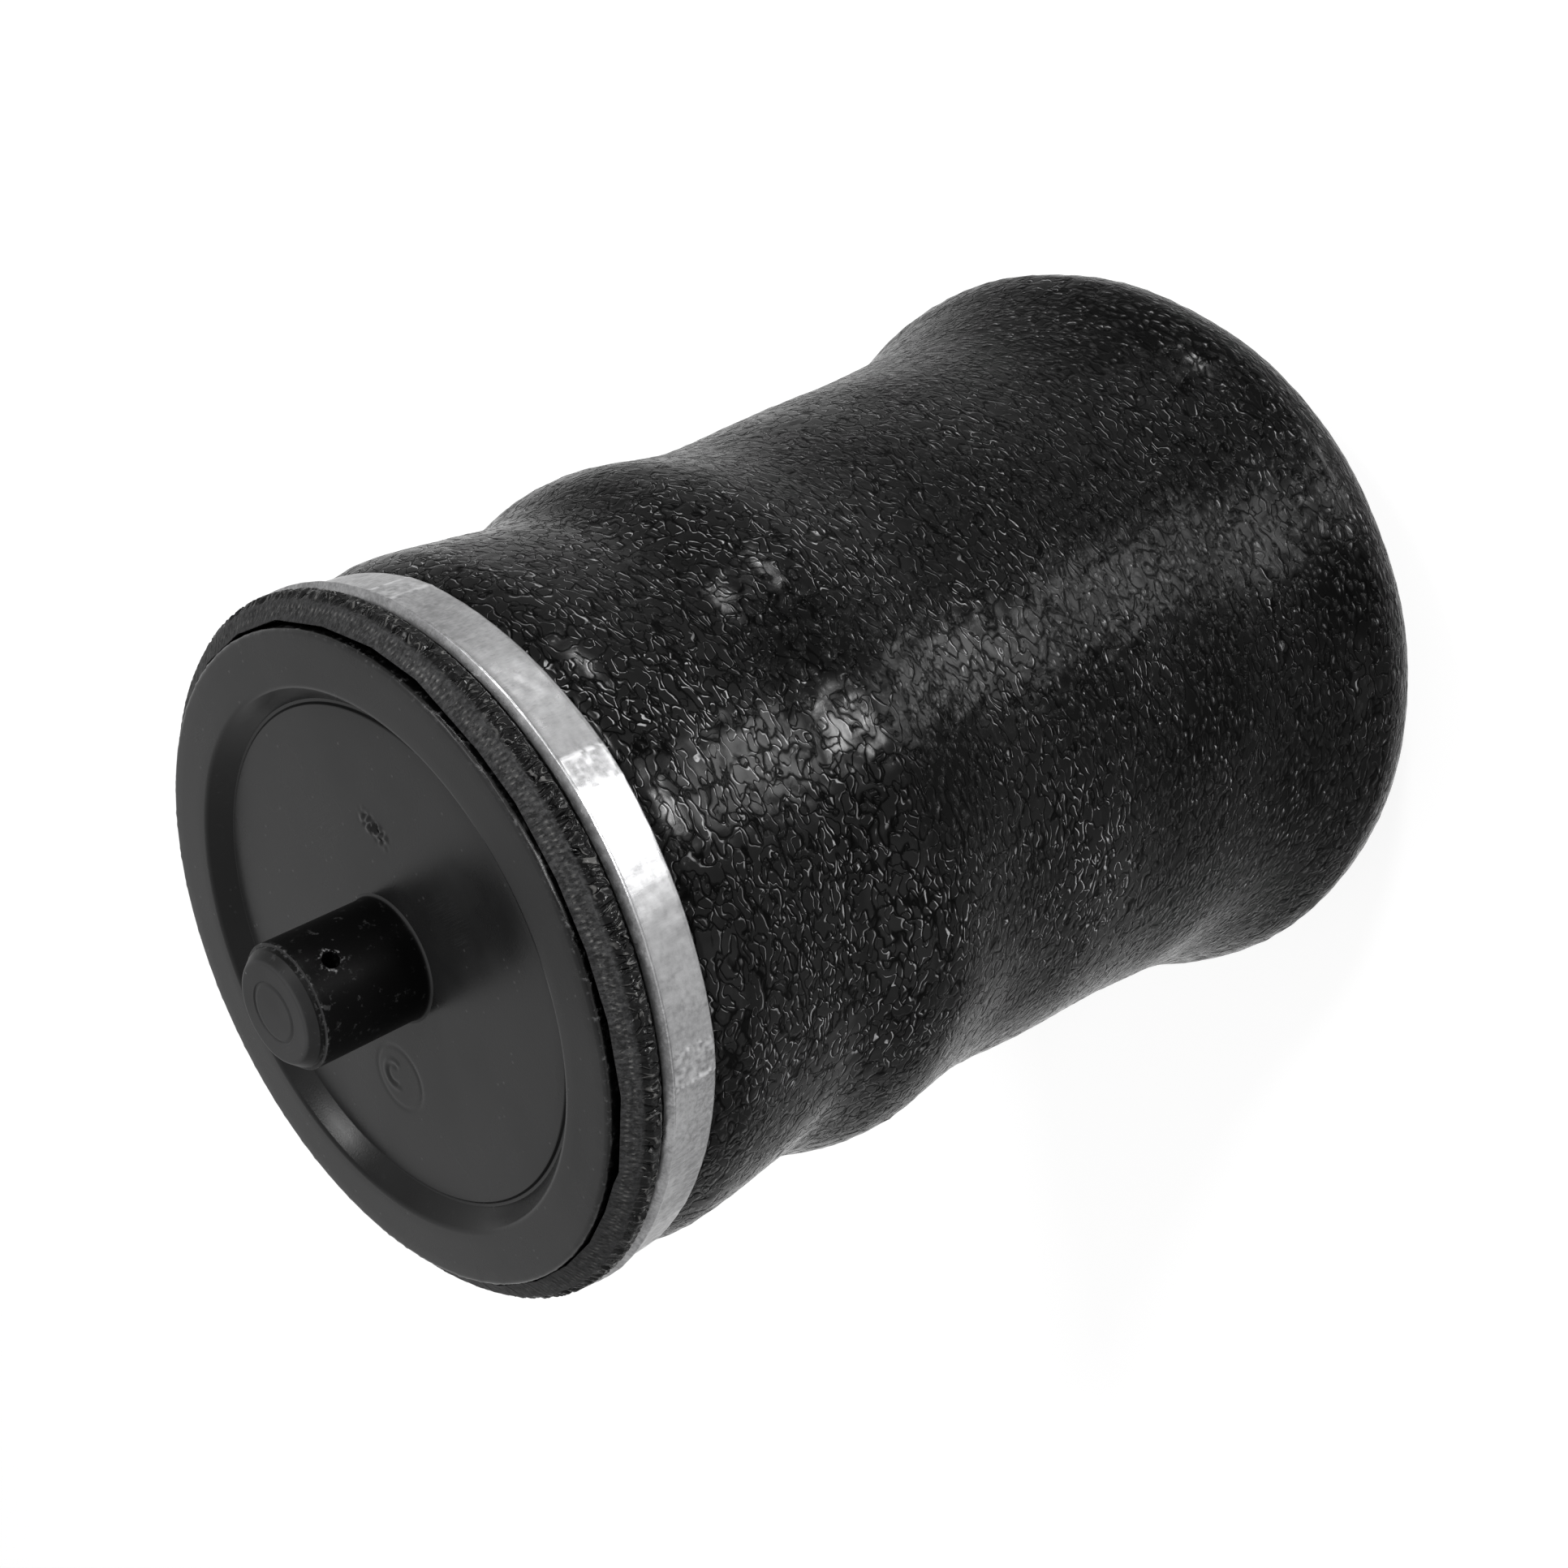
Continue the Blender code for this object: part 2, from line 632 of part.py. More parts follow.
def piston_inlet():
    """The inlet's boss and pipe, bored in steps: seal seat, fitting bore, air passage."""
    seat = FITTING_RADIUS + 2 * SEAL_CORD + 2 * GAP
    seat_top = INLET_BOSS_BOTTOM + 2 * SEAL_CORD + GAP
    bore = FITTING_RADIUS + GAP
    bore_top = FLANGE_TOP + FITTING_LENGTH + GAP
    outline = filleted(
        [
            (seat, INLET_BOSS_BOTTOM),
            (INLET_BOSS_RADIUS, INLET_BOSS_BOTTOM, 0.4 * MM),
            (INLET_BOSS_RADIUS, INLET_BOSS_TOP, 2.0 * MM),
            (INLET_PIPE_RADIUS, INLET_BOSS_TOP + INLET_BOSS_TAPER, 2.0 * MM),
            (INLET_PIPE_RADIUS, DECK_UNDERSIDE - GAP),
            (AIR_RADIUS, DECK_UNDERSIDE - GAP),
            (AIR_RADIUS, bore_top),
            (bore, bore_top),
            (bore, seat_top),
            (seat, seat_top),
        ]
    )
    return turned("piston_inlet", outline, "piston_plastic", SMALL_ROUND, (INLET_OFFSET, 0.0))


def rib_azimuths():
    """Evenly spaced azimuths, less those where a rib would meet the inlet's boss."""
    kept = []
    for azimuth in around(PISTON_RIBS):
        beside = abs(INLET_OFFSET * math.sin(azimuth)) - 0.5 * RIB_WIDTH - INLET_BOSS_RADIUS
        if math.cos(azimuth) < 0.0 or beside > 0.5 * GAP:
            kept.append(azimuth)
    return kept


def screw_azimuths():
    """The closure's screws stand in the middle of the cells between the piston's ribs."""
    return around(SCREW_COUNT, math.radians(45))


def closure():
    """The disc that the sleeve's inner end is crimped on."""
    outline = filleted(
        [
            (0.0, CLOSURE_TOP - CLOSURE_DISH_DEPTH),
            (0.0, CLOSURE_BOTTOM),
            (CLOSURE_RADIUS, CLOSURE_BOTTOM),
            (CLOSURE_RADIUS, CLOSURE_BOTTOM + 0.45 * LOWER_RING_RISE),
            (CLOSURE_NECK, LOWER_RING_BOTTOM - 0.4 * MM),
            (CLOSURE_NECK, LOWER_RING_TOP - MM),
            (CLOSURE_LIP, CLOSURE_TOP - CLOSURE_LIP_HEIGHT + MM),
            (CLOSURE_LIP, CLOSURE_TOP, 0.8 * MM),
            (CLOSURE_DISH_RADIUS + CLOSURE_DISH_DEPTH, CLOSURE_TOP, 0.8 * MM),
            (CLOSURE_DISH_RADIUS, CLOSURE_TOP - CLOSURE_DISH_DEPTH, 0.8 * MM),
        ]
    )
    disc = turned("closure", outline, "piston_plastic", segments=PLAIN_ROUND)
    hole_radius = SCREW_RADIUS + INSERT_WALL + GAP
    hole_top = CLOSURE_BOTTOM + INSERT_LENGTH + 2 * GAP
    below = CLOSURE_BOTTOM - MM
    for azimuth in screw_azimuths():
        centre = at(azimuth, SCREW_CIRCLE)
        cut(disc, rod("closure_hole", hole_radius, below, hole_top, centre, SCREW_ROUND))
    air_centre = (INLET_OFFSET, 0.0)
    cut(disc, rod("closure_air", AIR_RADIUS, below, CLOSURE_TOP + MM, air_centre, SCREW_ROUND))
    return disc


def threaded_insert(name, bore, wall, bottom, length, centre=(0.0, 0.0), segments=SCREW_ROUND):
    """A brass bush with a grip groove, open at its lower end."""
    outer = bore + wall
    groove = 0.3 * wall
    outline = [
        (bore, bottom),
        (outer, bottom),
        (outer, bottom + 0.40 * length),
        (outer - groove, bottom + 0.45 * length),
        (outer - groove, bottom + 0.60 * length),
        (outer, bottom + 0.65 * length),
        (outer, bottom + length),
        (bore, bottom + length),
    ]
    return turned(name, outline, "insert_brass", segments, centre)


def cap_screw(name, radius, head_radius, head_height, seat, tip, centre=(0.0, 0.0)):
    """A socket-head screw that points up, its head below the seat."""
    head = seat - head_height
    outline = filleted(
        [
            (0.0, tip),
            (0.0, head),
            (head_radius, head, 0.5 * MM),
            (head_radius, seat),
            (radius, seat),
            (radius, tip - 0.5 * MM),
            (radius - 0.5 * MM, tip),
        ]
    )
    screw = turned(name, outline, "screw_steel", SCREW_ROUND, centre)
    socket_radius = 0.62 * radius + 0.7 * MM
    socket_end = head + 0.55 * head_height
    cut(screw, rod("socket", socket_radius, head - MM, socket_end, centre, segments=HEXAGON))
    return screw


def bump_stop():
    """The buffer under the plate: seat, waist, ribbed flank and soft nose, bored for its screw."""
    top = STOP_TOP
    bottom = top - STOP_LENGTH
    seat = top - STOP_SEAT
    outline = filleted(
        [
            (STOP_SCREW_RADIUS + 2 * GAP, top),
            (STOP_SCREW_RADIUS + 2 * GAP, seat),
            (STOP_BORE_RADIUS, seat, 0.5 * MM),
            (STOP_BORE_RADIUS - 1.5 * MM, bottom, 1.2 * MM),
            (STOP_NOSE, bottom, 2.0 * MM),
            (STOP_NOSE + 1.5 * MM, bottom + 0.22 * STOP_LENGTH, 1.5 * MM),
            (STOP_WAIST - MM, bottom + 0.30 * STOP_LENGTH, 1.2 * MM),
            (STOP_RADIUS - MM, bottom + 0.42 * STOP_LENGTH, 1.5 * MM),
            (STOP_RADIUS - MM, bottom + 0.56 * STOP_LENGTH, 1.5 * MM),
            (STOP_WAIST, bottom + 0.66 * STOP_LENGTH, 1.2 * MM),
            (STOP_RADIUS, bottom + 0.78 * STOP_LENGTH, 1.5 * MM),
            (STOP_RADIUS, top),
        ]
    )
    return turned("bump_stop", outline, "stop_foam", segments=PLAIN_ROUND)


def bump_stop_fixing():
    """The buffer's washer, screw and threaded insert."""
    seat = STOP_TOP - STOP_SEAT - GAP
    washer_bottom = seat - STOP_WASHER
    boss_bottom = RIM_Z - STOP_BOSS_DEPTH
    outline = [
        (STOP_SCREW_RADIUS + GAP, washer_bottom),
        (STOP_BORE_RADIUS - 3 * GAP, washer_bottom),
        (STOP_BORE_RADIUS - 3 * GAP, seat),
        (STOP_SCREW_RADIUS + GAP, seat),
    ]
    turned("bump_stop_washer", outline, "screw_steel", SMALL_ROUND)
    bore = STOP_SCREW_RADIUS + GAP
    wall = INSERT_WALL - GAP
    threaded_insert("plate_insert", bore, wall, boss_bottom, STOP_INSERT_LENGTH, segments=SMALL_ROUND)
    tip = boss_bottom + 0.85 * STOP_INSERT_LENGTH
    cap_screw(
        "bump_stop_screw",
        STOP_SCREW_RADIUS,
        STOP_SCREW_HEAD,
        STOP_SCREW_HEAD_HEIGHT,
        washer_bottom - GAP,
        tip,
    )


def closure_fixings():
    """Four screws up through the piston's deck, and the inserts that they turn into."""
    bore = SCREW_RADIUS + GAP
    wall = INSERT_WALL - GAP
    for number, azimuth in enumerate(screw_azimuths(), 1):
        centre = at(azimuth, SCREW_CIRCLE)
        threaded_insert(f"closure_insert_{number}", bore, wall, CLOSURE_BOTTOM, INSERT_LENGTH, centre)
        cap_screw(
            f"closure_screw_{number}",
            SCREW_RADIUS,
            SCREW_HEAD_RADIUS,
            SCREW_HEAD_HEIGHT,
            DECK_UNDERSIDE - GAP,
            CLOSURE_BOTTOM + SCREW_REACH,
            centre,
        )
    seal_radius = AIR_RADIUS + SEAL_CORD + 2 * GAP
    seal_height = PISTON_HEIGHT - SEAL_CORD + 0.5 * GAP
    seal_ring("closure_seal", seal_radius, SEAL_CORD - 0.5 * GAP, seal_height, (INLET_OFFSET, 0.0))


def air_inlet():
    """The push-in fitting in the piston's base, with its seals, its slotted collet and its retainer."""
    centre = (INLET_OFFSET, 0.0)
    top = FLANGE_TOP + FITTING_LENGTH
    mouth_end = FLANGE_BOTTOM + FITTING_MOUTH_DEPTH
    seat_end = mouth_end + 2 * SEAL_CORD + 2 * GAP
    outline = [
        (AIR_RADIUS - GAP, top),
        (AIR_RADIUS - GAP, top - 2.0 * MM),
        (TUBE_RADIUS, top - 2.0 * MM),
        (TUBE_RADIUS, seat_end),
        (TUBE_RADIUS + 2 * SEAL_CORD + GAP, seat_end),
        (TUBE_RADIUS + 2 * SEAL_CORD + GAP, mouth_end),
        (FITTING_MOUTH_RADIUS, mouth_end),
        (FITTING_MOUTH_RADIUS, FLANGE_BOTTOM),
        (FITTING_FLANGE, FLANGE_BOTTOM),
        (FITTING_FLANGE, FLANGE_TOP),
        (FITTING_RADIUS, FLANGE_TOP),
        (FITTING_RADIUS, top - 0.6 * MM),
        (FITTING_RADIUS - 0.6 * MM, top),
    ]
    turned("air_fitting", outline, "insert_brass", SMALL_ROUND, centre)
    fitting_seal_radius = FITTING_RADIUS + SEAL_CORD + 1.5 * GAP
    seal_ring("fitting_seal", fitting_seal_radius, SEAL_CORD, INLET_BOSS_BOTTOM + SEAL_CORD, centre)
    tube_seal_radius = TUBE_RADIUS + SEAL_CORD + 0.5 * GAP
    seal_ring("tube_seal", tube_seal_radius, SEAL_CORD, mouth_end + SEAL_CORD + GAP, centre)
    collet(centre)
    collet_retainer(centre)


def collet(centre):
    """The release collet: a head to press, and fingers with a thickened end that grips the tube."""
    head_top = FLANGE_BOTTOM - COLLET_TRAVEL - 0.1 * MM
    head_bottom = head_top - COLLET_HEAD_HEIGHT
    top = head_bottom + COLLET_LENGTH
    outline = [
        (TUBE_RADIUS + 0.15 * MM, head_bottom),
        (COLLET_HEAD_RADIUS, head_bottom),
        (COLLET_HEAD_RADIUS, head_top),
        (COLLET_STEM_RADIUS, head_top),
        (COLLET_STEM_RADIUS, top - 2.4 * MM),
        (COLLET_GRIP_RADIUS, top - 1.6 * MM),
        (COLLET_GRIP_RADIUS, top - 0.6 * MM),
        (COLLET_STEM_RADIUS, top),
        (TUBE_RADIUS, top),
        (TUBE_RADIUS + 0.15 * MM, top - 1.0 * MM),
    ]
    sleeve_part = turned("collet", outline, "collet_plastic", SMALL_ROUND, centre)
    for azimuth in around(COLLET_SLOTS // 2, math.radians(45)):
        shape = bmesh.new()
        bmesh.ops.create_cube(shape, size=1.0)
        size = (4 * COLLET_STEM_RADIUS, COLLET_SLOT_WIDTH, COLLET_LENGTH)
        bmesh.ops.scale(shape, vec=size, verts=shape.verts)
        turn_about_axis(shape, azimuth)
        lift = head_top + MM + 0.5 * COLLET_LENGTH
        bmesh.ops.translate(shape, vec=(centre[0], centre[1], lift), verts=shape.verts)
        cut(sleeve_part, add_object("finger_slot", shape, "collet_plastic"))
    return sleeve_part


def collet_retainer(centre):
    """The ring pressed into the fitting's mouth, with the taper that closes the collet's fingers."""
    bottom = FLANGE_BOTTOM + GAP
    top = bottom + RETAINER_HEIGHT
    bore = COLLET_STEM_RADIUS + GAP
    outline = [
        (bore, bottom),
        (FITTING_MOUTH_RADIUS - GAP, bottom),
        (FITTING_MOUTH_RADIUS - GAP, top),
        (COLLET_GRIP_RADIUS + GAP, top),
        (bore, top - 0.8 * MM),
    ]
    return turned("collet_retainer", outline, "screw_steel", SMALL_ROUND, centre)


def upper_group():
    """What moves with the end plate."""
    end_plate()
    plate_ribs()
    crimp_ring("upper_crimp_ring", LAND_RADIUS + SLEEVE_WALL + 2 * GAP, RING_BOTTOM)
    bump_stop()
    bump_stop_fixing()


def lower_group():
    """What stays with the piston."""
    piston()
    closure()
    crimp_ring("lower_crimp_ring", CLOSURE_NECK + SLEEVE_WALL + 2 * GAP, LOWER_RING_BOTTOM)
    closure_fixings()
    threaded_insert(
        "base_insert",
        BASE_BORE_RADIUS,
        BASE_INSERT_WALL,
        GAP,
        BASE_INSERT_LENGTH,
        segments=SMALL_ROUND,
    )
    air_inlet()


clear_scene()
upper_group()
sleeve()
lower_group()
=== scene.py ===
"""The looks of a rolling-lobe air spring: its wrinkled sleeve, crimped ring, moulded plate and piston.

Every piece is a surface worked out from a few sizes, in metres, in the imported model's own frame: the
axis of the spring is Z, the piston's base is at z = 0 and the end plate is at the top.
"""

import logging
import math
from dataclasses import dataclass, field
from enum import Enum

import bpy
import numpy as np
from mathutils import Matrix, Vector


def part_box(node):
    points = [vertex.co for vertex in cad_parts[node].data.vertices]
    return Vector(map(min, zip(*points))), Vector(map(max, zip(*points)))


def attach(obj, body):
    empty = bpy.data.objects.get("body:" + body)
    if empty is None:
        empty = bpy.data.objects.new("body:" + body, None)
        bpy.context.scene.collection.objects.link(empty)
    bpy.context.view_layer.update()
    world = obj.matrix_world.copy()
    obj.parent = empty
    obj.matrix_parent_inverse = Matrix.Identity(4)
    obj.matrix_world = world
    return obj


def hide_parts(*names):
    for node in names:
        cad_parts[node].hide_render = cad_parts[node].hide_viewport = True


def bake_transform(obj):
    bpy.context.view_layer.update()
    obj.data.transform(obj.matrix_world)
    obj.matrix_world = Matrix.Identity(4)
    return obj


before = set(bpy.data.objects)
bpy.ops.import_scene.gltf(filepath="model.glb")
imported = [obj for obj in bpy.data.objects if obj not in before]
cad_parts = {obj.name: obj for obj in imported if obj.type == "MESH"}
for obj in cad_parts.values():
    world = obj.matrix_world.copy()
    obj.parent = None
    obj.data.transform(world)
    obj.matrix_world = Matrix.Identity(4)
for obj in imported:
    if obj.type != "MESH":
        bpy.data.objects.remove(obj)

MM = 0.001
TAU = math.tau
log = logging.getLogger("air_spring")


class Body(Enum):
    """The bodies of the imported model."""

    PISTON = "piston_body"
    PLATE = "plate_body"
    COLLET = "collet_body"


class End(Enum):
    """How the first or last row of a surface is closed."""

    POLE = "one point on the axis"
    CAP = "one flat face"
    LOOP = "joined to the other end"


# Outlines


def rounded(corners: list[tuple[float, ...]], steps: int = 6) -> np.ndarray:
    """An outline with its corners rounded.

    Each corner (radius, height, fillet) becomes a quadratic arc that starts and ends where a circle
    of that fillet would touch its two sides. A corner without a fillet stays sharp.

    Args:
        corners: The outline's corners, in millimetres.
        steps: The number of steps in each arc.

    Returns:
        Points (radius, height), in metres.
    """
    points = []
    for place, corner in enumerate(corners):
        here = np.array(corner[:2])
        if len(corner) == 2:
            points.append(here[None, :])
            continue
        before = np.array(corners[place - 1][:2]) - here
        after = np.array(corners[(place + 1) % len(corners)][:2]) - here
        lengths = np.linalg.norm(before), np.linalg.norm(after)
        before, after = before / lengths[0], after / lengths[1]
        half_angle = 0.5 * math.acos(float(np.clip(before @ after, -1, 1)))
        reach = min(corner[2] / math.tan(half_angle), 0.48 * min(lengths))
        t = np.linspace(0, 1, steps + 1)[:, None]
        start, end = here + before * reach, here + after * reach
        points.append((1 - t) ** 2 * start + 2 * t * (1 - t) * here + t**2 * end)
    return np.concatenate(points) * MM


def flowing(stations: list[tuple[float, float]], count: int) -> np.ndarray:
    """A smooth curve through stations, evenly spaced along its length.

    The curve between two stations is the cubic whose slope at each is that of the line between its
    two neighbours.

    Args:
        stations: Points (radius, height), in millimetres.
        count: The number of points to return.

    Returns:
        Points (radius, height), in metres.
    """
    given = np.array(stations) * MM
    padded = np.vstack([given[:1], given, given[-1:]])
    a, b, c, d = (padded[i : len(padded) - 3 + i, None, :] for i in range(4))
    t = np.linspace(0, 1, 24, endpoint=False)[None, :, None]
    cubic = 2 * b + (c - a) * t + (2 * a - 5 * b + 4 * c - d) * t**2 + (3 * b - a - 3 * c + d) * t**3
    curve = np.vstack([(0.5 * cubic).reshape(-1, 2), given[-1:]])
    return evenly(curve, count)


def evenly(path: np.ndarray, count: int) -> np.ndarray:
    """The same path with this many points, evenly spaced along its length.

    Args:
        path: Points as rows of radius and height, in metres.
        count: How many points to return.

    Returns:
        The new points.
    """
    along = arc_length(path)
    wanted = np.linspace(0, along[-1], count)
    return np.stack([np.interp(wanted, along, path[:, k]) for k in (0, 1)], axis=1)


def arc_length(path: np.ndarray) -> np.ndarray:
    """The distance along a path at each of its points."""
    steps = np.linalg.norm(np.diff(path, axis=0), axis=1)
    return np.concatenate([[0.0], np.cumsum(steps)])


def finer(outline: np.ndarray, spacing: float, closed: bool = True) -> np.ndarray:
    """An outline with points added, so that none are further apart than the spacing.

    Args:
        outline: Points (radius, height), in metres.
        spacing: The greatest distance between two points, in metres.
        closed: Whether the last point is joined to the first.

    Returns:
        Points (radius, height), in metres.
    """
    pieces = []
    for here, after in zip(outline, np.roll(outline, -1, axis=0)):
        count = max(1, math.ceil(np.linalg.norm(after - here) / spacing))
        pieces.append(here + (after - here) * np.arange(count)[:, None] / count)
    return np.concatenate(pieces if closed else pieces[:-1] + [outline[-1:]])


def side_normals(path: np.ndarray) -> np.ndarray:
    """Unit vectors (radius, height) at right angles to a path, to its left as it is followed.

    Args:
        path: Points as rows of radius and height, in metres.

    Returns:
        One unit vector for each point.
    """
    along = np.gradient(path, axis=0)
    along /= np.linalg.norm(along, axis=1, keepdims=True) + 1e-12
    return np.stack([-along[:, 1], along[:, 0]], axis=1)


# Surfaces


@dataclass
class Surface:
    """A grid of points, rows by columns, whose columns go round and whose rows end as stated."""

    points: np.ndarray
    ends: End = End.LOOP
    values: dict[str, np.ndarray] = field(default_factory=dict)

    def faces(self) -> list[np.ndarray]:
        """The faces as arrays of corner numbers, one array for each number of corners.

        Returns:
            Arrays with one row of corner numbers for each face.
        """
        rows, columns = self.points.shape[:2]
        number = np.arange(rows * columns).reshape(rows, columns)
        if self.ends is End.POLE:
            number[0], number[-1] = number[0, 0], number[-1, 0]
        upper = np.roll(number, -1, axis=0) if self.ends is End.LOOP else number[1:]
        lower = number if self.ends is End.LOOP else number[:-1]
        quads = np.stack([lower, np.roll(lower, -1, 1), np.roll(upper, -1, 1), upper], axis=-1)
        if self.ends is End.LOOP:
            return [quads.reshape(-1, 4)]
        if self.ends is End.CAP:
            return [quads.reshape(-1, 4), number[:1, ::-1], number[-1:]]
        return [quads[1:-1].reshape(-1, 4), quads[0][:, [0, 2, 3]], quads[-1][:, [0, 1, 2]]]

    def build(self, name: str) -> bpy.types.Object:
        """Make the mesh, with its faces turned outwards.

        Args:
            name: The object's name.

        Returns:
            The object, at the origin.
        """
        points = self.points.reshape(-1, 3)
        faces = self.faces()
        if signed_volume(points, faces) < 0:
            faces = [part[:, ::-1] for part in faces]
        used = np.unique(np.concatenate([part.ravel() for part in faces]))
        place = np.zeros(len(points), np.int32)
        place[used] = np.arange(len(used))
        corners = np.concatenate([place[part].ravel() for part in faces])
        sizes = np.concatenate([np.full(len(part), part.shape[1]) for part in faces])
        mesh = bpy.data.meshes.new(name)
        mesh.vertices.add(len(used))
        mesh.vertices.foreach_set("co", points[used].astype(np.float32).ravel())
        mesh.loops.add(len(corners))
        mesh.loops.foreach_set("vertex_index", corners.astype(np.int32))
        mesh.polygons.add(len(sizes))
        mesh.polygons.foreach_set("loop_start", (np.cumsum(sizes) - sizes).astype(np.int32))
        for label, value in self.values.items():
            self.store(mesh, label, value, used)
        mesh.update(calc_edges=True)
        mesh.validate()
        mesh.shade_smooth()
        mesh.set_sharp_from_angle(angle=math.radians(40))
        made = bpy.data.objects.new(name, mesh)
        bpy.context.scene.collection.objects.link(made)
        return made

    def store(self, mesh: bpy.types.Mesh, label: str, value: np.ndarray, used: np.ndarray) -> None:
        """Keep a number or a vector for each point of the mesh, for its material to read.

        Args:
            mesh: The mesh to write to.
            label: The attribute's name.
            value: One number or vector for each point of the surface.
            used: The numbers of the points that the mesh keeps.
        """
        vector = value.ndim == 3
        kind = "FLOAT_VECTOR" if vector else "FLOAT"
        flat = value.reshape(-1, 3)[used] if vector else value.reshape(-1)[used]
        kept = mesh.attributes.new(label, kind, "POINT")
        kept.data.foreach_set("vector" if vector else "value", flat.astype(np.float32).ravel())


def signed_volume(points: np.ndarray, faces: list[np.ndarray]) -> float:
    """Six times the volume inside the faces, negative where they point inwards.

    Args:
        points: The corners' positions.
        faces: The faces as corner numbers.

    Returns:
        The volume, in the points' unit cubed.
    """
    total = 0.0
    for part in faces:
        first = points[part[:, 0]]
        for corner in range(1, part.shape[1] - 1):
            second, third = points[part[:, corner]], points[part[:, corner + 1]]
            total += float(np.einsum("ij,ij->i", first, np.cross(second, third)).sum())
    return total


def azimuths(count: int) -> np.ndarray:
    """Evenly spaced azimuths once round, in radians."""
    return np.arange(count) * TAU / count


def turned(
    outline: np.ndarray,
    count: int,
    ends: End = End.LOOP,
    centre: tuple[float, float] = (0.0, 0.0),
    radii: np.ndarray | None = None,
) -> Surface:
    """Carry an outline round an upright axis: x = r cos a, y = r sin a, z = h.

    Args:
        outline: Points (radius, height).
        count: The number of steps round the axis.
        ends: How the outline's ends are closed.
        centre: The axis, as (x, y).
        radii: Radii, rows by columns, where they change round the axis.

    Returns:
        The surface.
    """
    angle = azimuths(count)[None, :]
    radius = outline[:, :1] if radii is None else radii
    height = outline[:, 1:] * np.ones_like(angle)
    x, y = centre[0] + radius * np.cos(angle), centre[1] + radius * np.sin(angle)
    return Surface(np.stack([x, y, height], axis=-1), ends)


def unshaded(outline: np.ndarray, count: int) -> np.ndarray:
    """How much of a turned face keeps its own tone: one where it faces along the axis, none at its sides,
    which the finish paints dark as shade.
    """
    level = np.abs(side_normals(outline)[:, 1])
    return np.repeat(np.clip((level - 0.5) / 0.42, 0, 1)[:, None], count, axis=1)


def hexagon(across_flats: float, count: int) -> np.ndarray:
    """The radius of a hexagon at each azimuth: half its width over the cosine from the nearest flat."""
    from_flat = (azimuths(count) + TAU / 12) % (TAU / 6) - TAU / 12
    return 0.5 * across_flats / np.cos(from_flat)


def ripple(
    angle: np.ndarray,
    along: np.ndarray,
    waves: int,
    shortest: float,
    longest: float,
    radius: float,
    seed: int,
) -> np.ndarray:
    """A rolling unevenness that closes round the axis: the mean of many cosines of both coordinates.

    Args:
        angle: Azimuths, in radians.
        along: Distances along the outline, in metres, in the other direction of the grid.
        waves: The number of cosines.
        shortest: The shortest wavelength, in metres.
        longest: The longest wavelength, in metres.
        radius: The radius at which the wavelengths hold round the axis.
        seed: The seed of the random draw.

    Returns:
        Heights that are mostly between -1 and 1, rows by columns.
    """
    draw = np.random.default_rng(seed)
    total = np.zeros((along.size, angle.size))
    for _ in range(waves):
        wavelength = shortest * (longest / shortest) ** draw.random()
        heading, phase = TAU * draw.random(), TAU * draw.random()
        turns = round(TAU * radius / wavelength * math.cos(heading))
        climb = TAU / wavelength * math.sin(heading)
        total += np.cos(turns * angle[None, :] + climb * along[:, None] + phase)
    return total * math.sqrt(2 / waves)


# Node groups for the effects that several finishes share


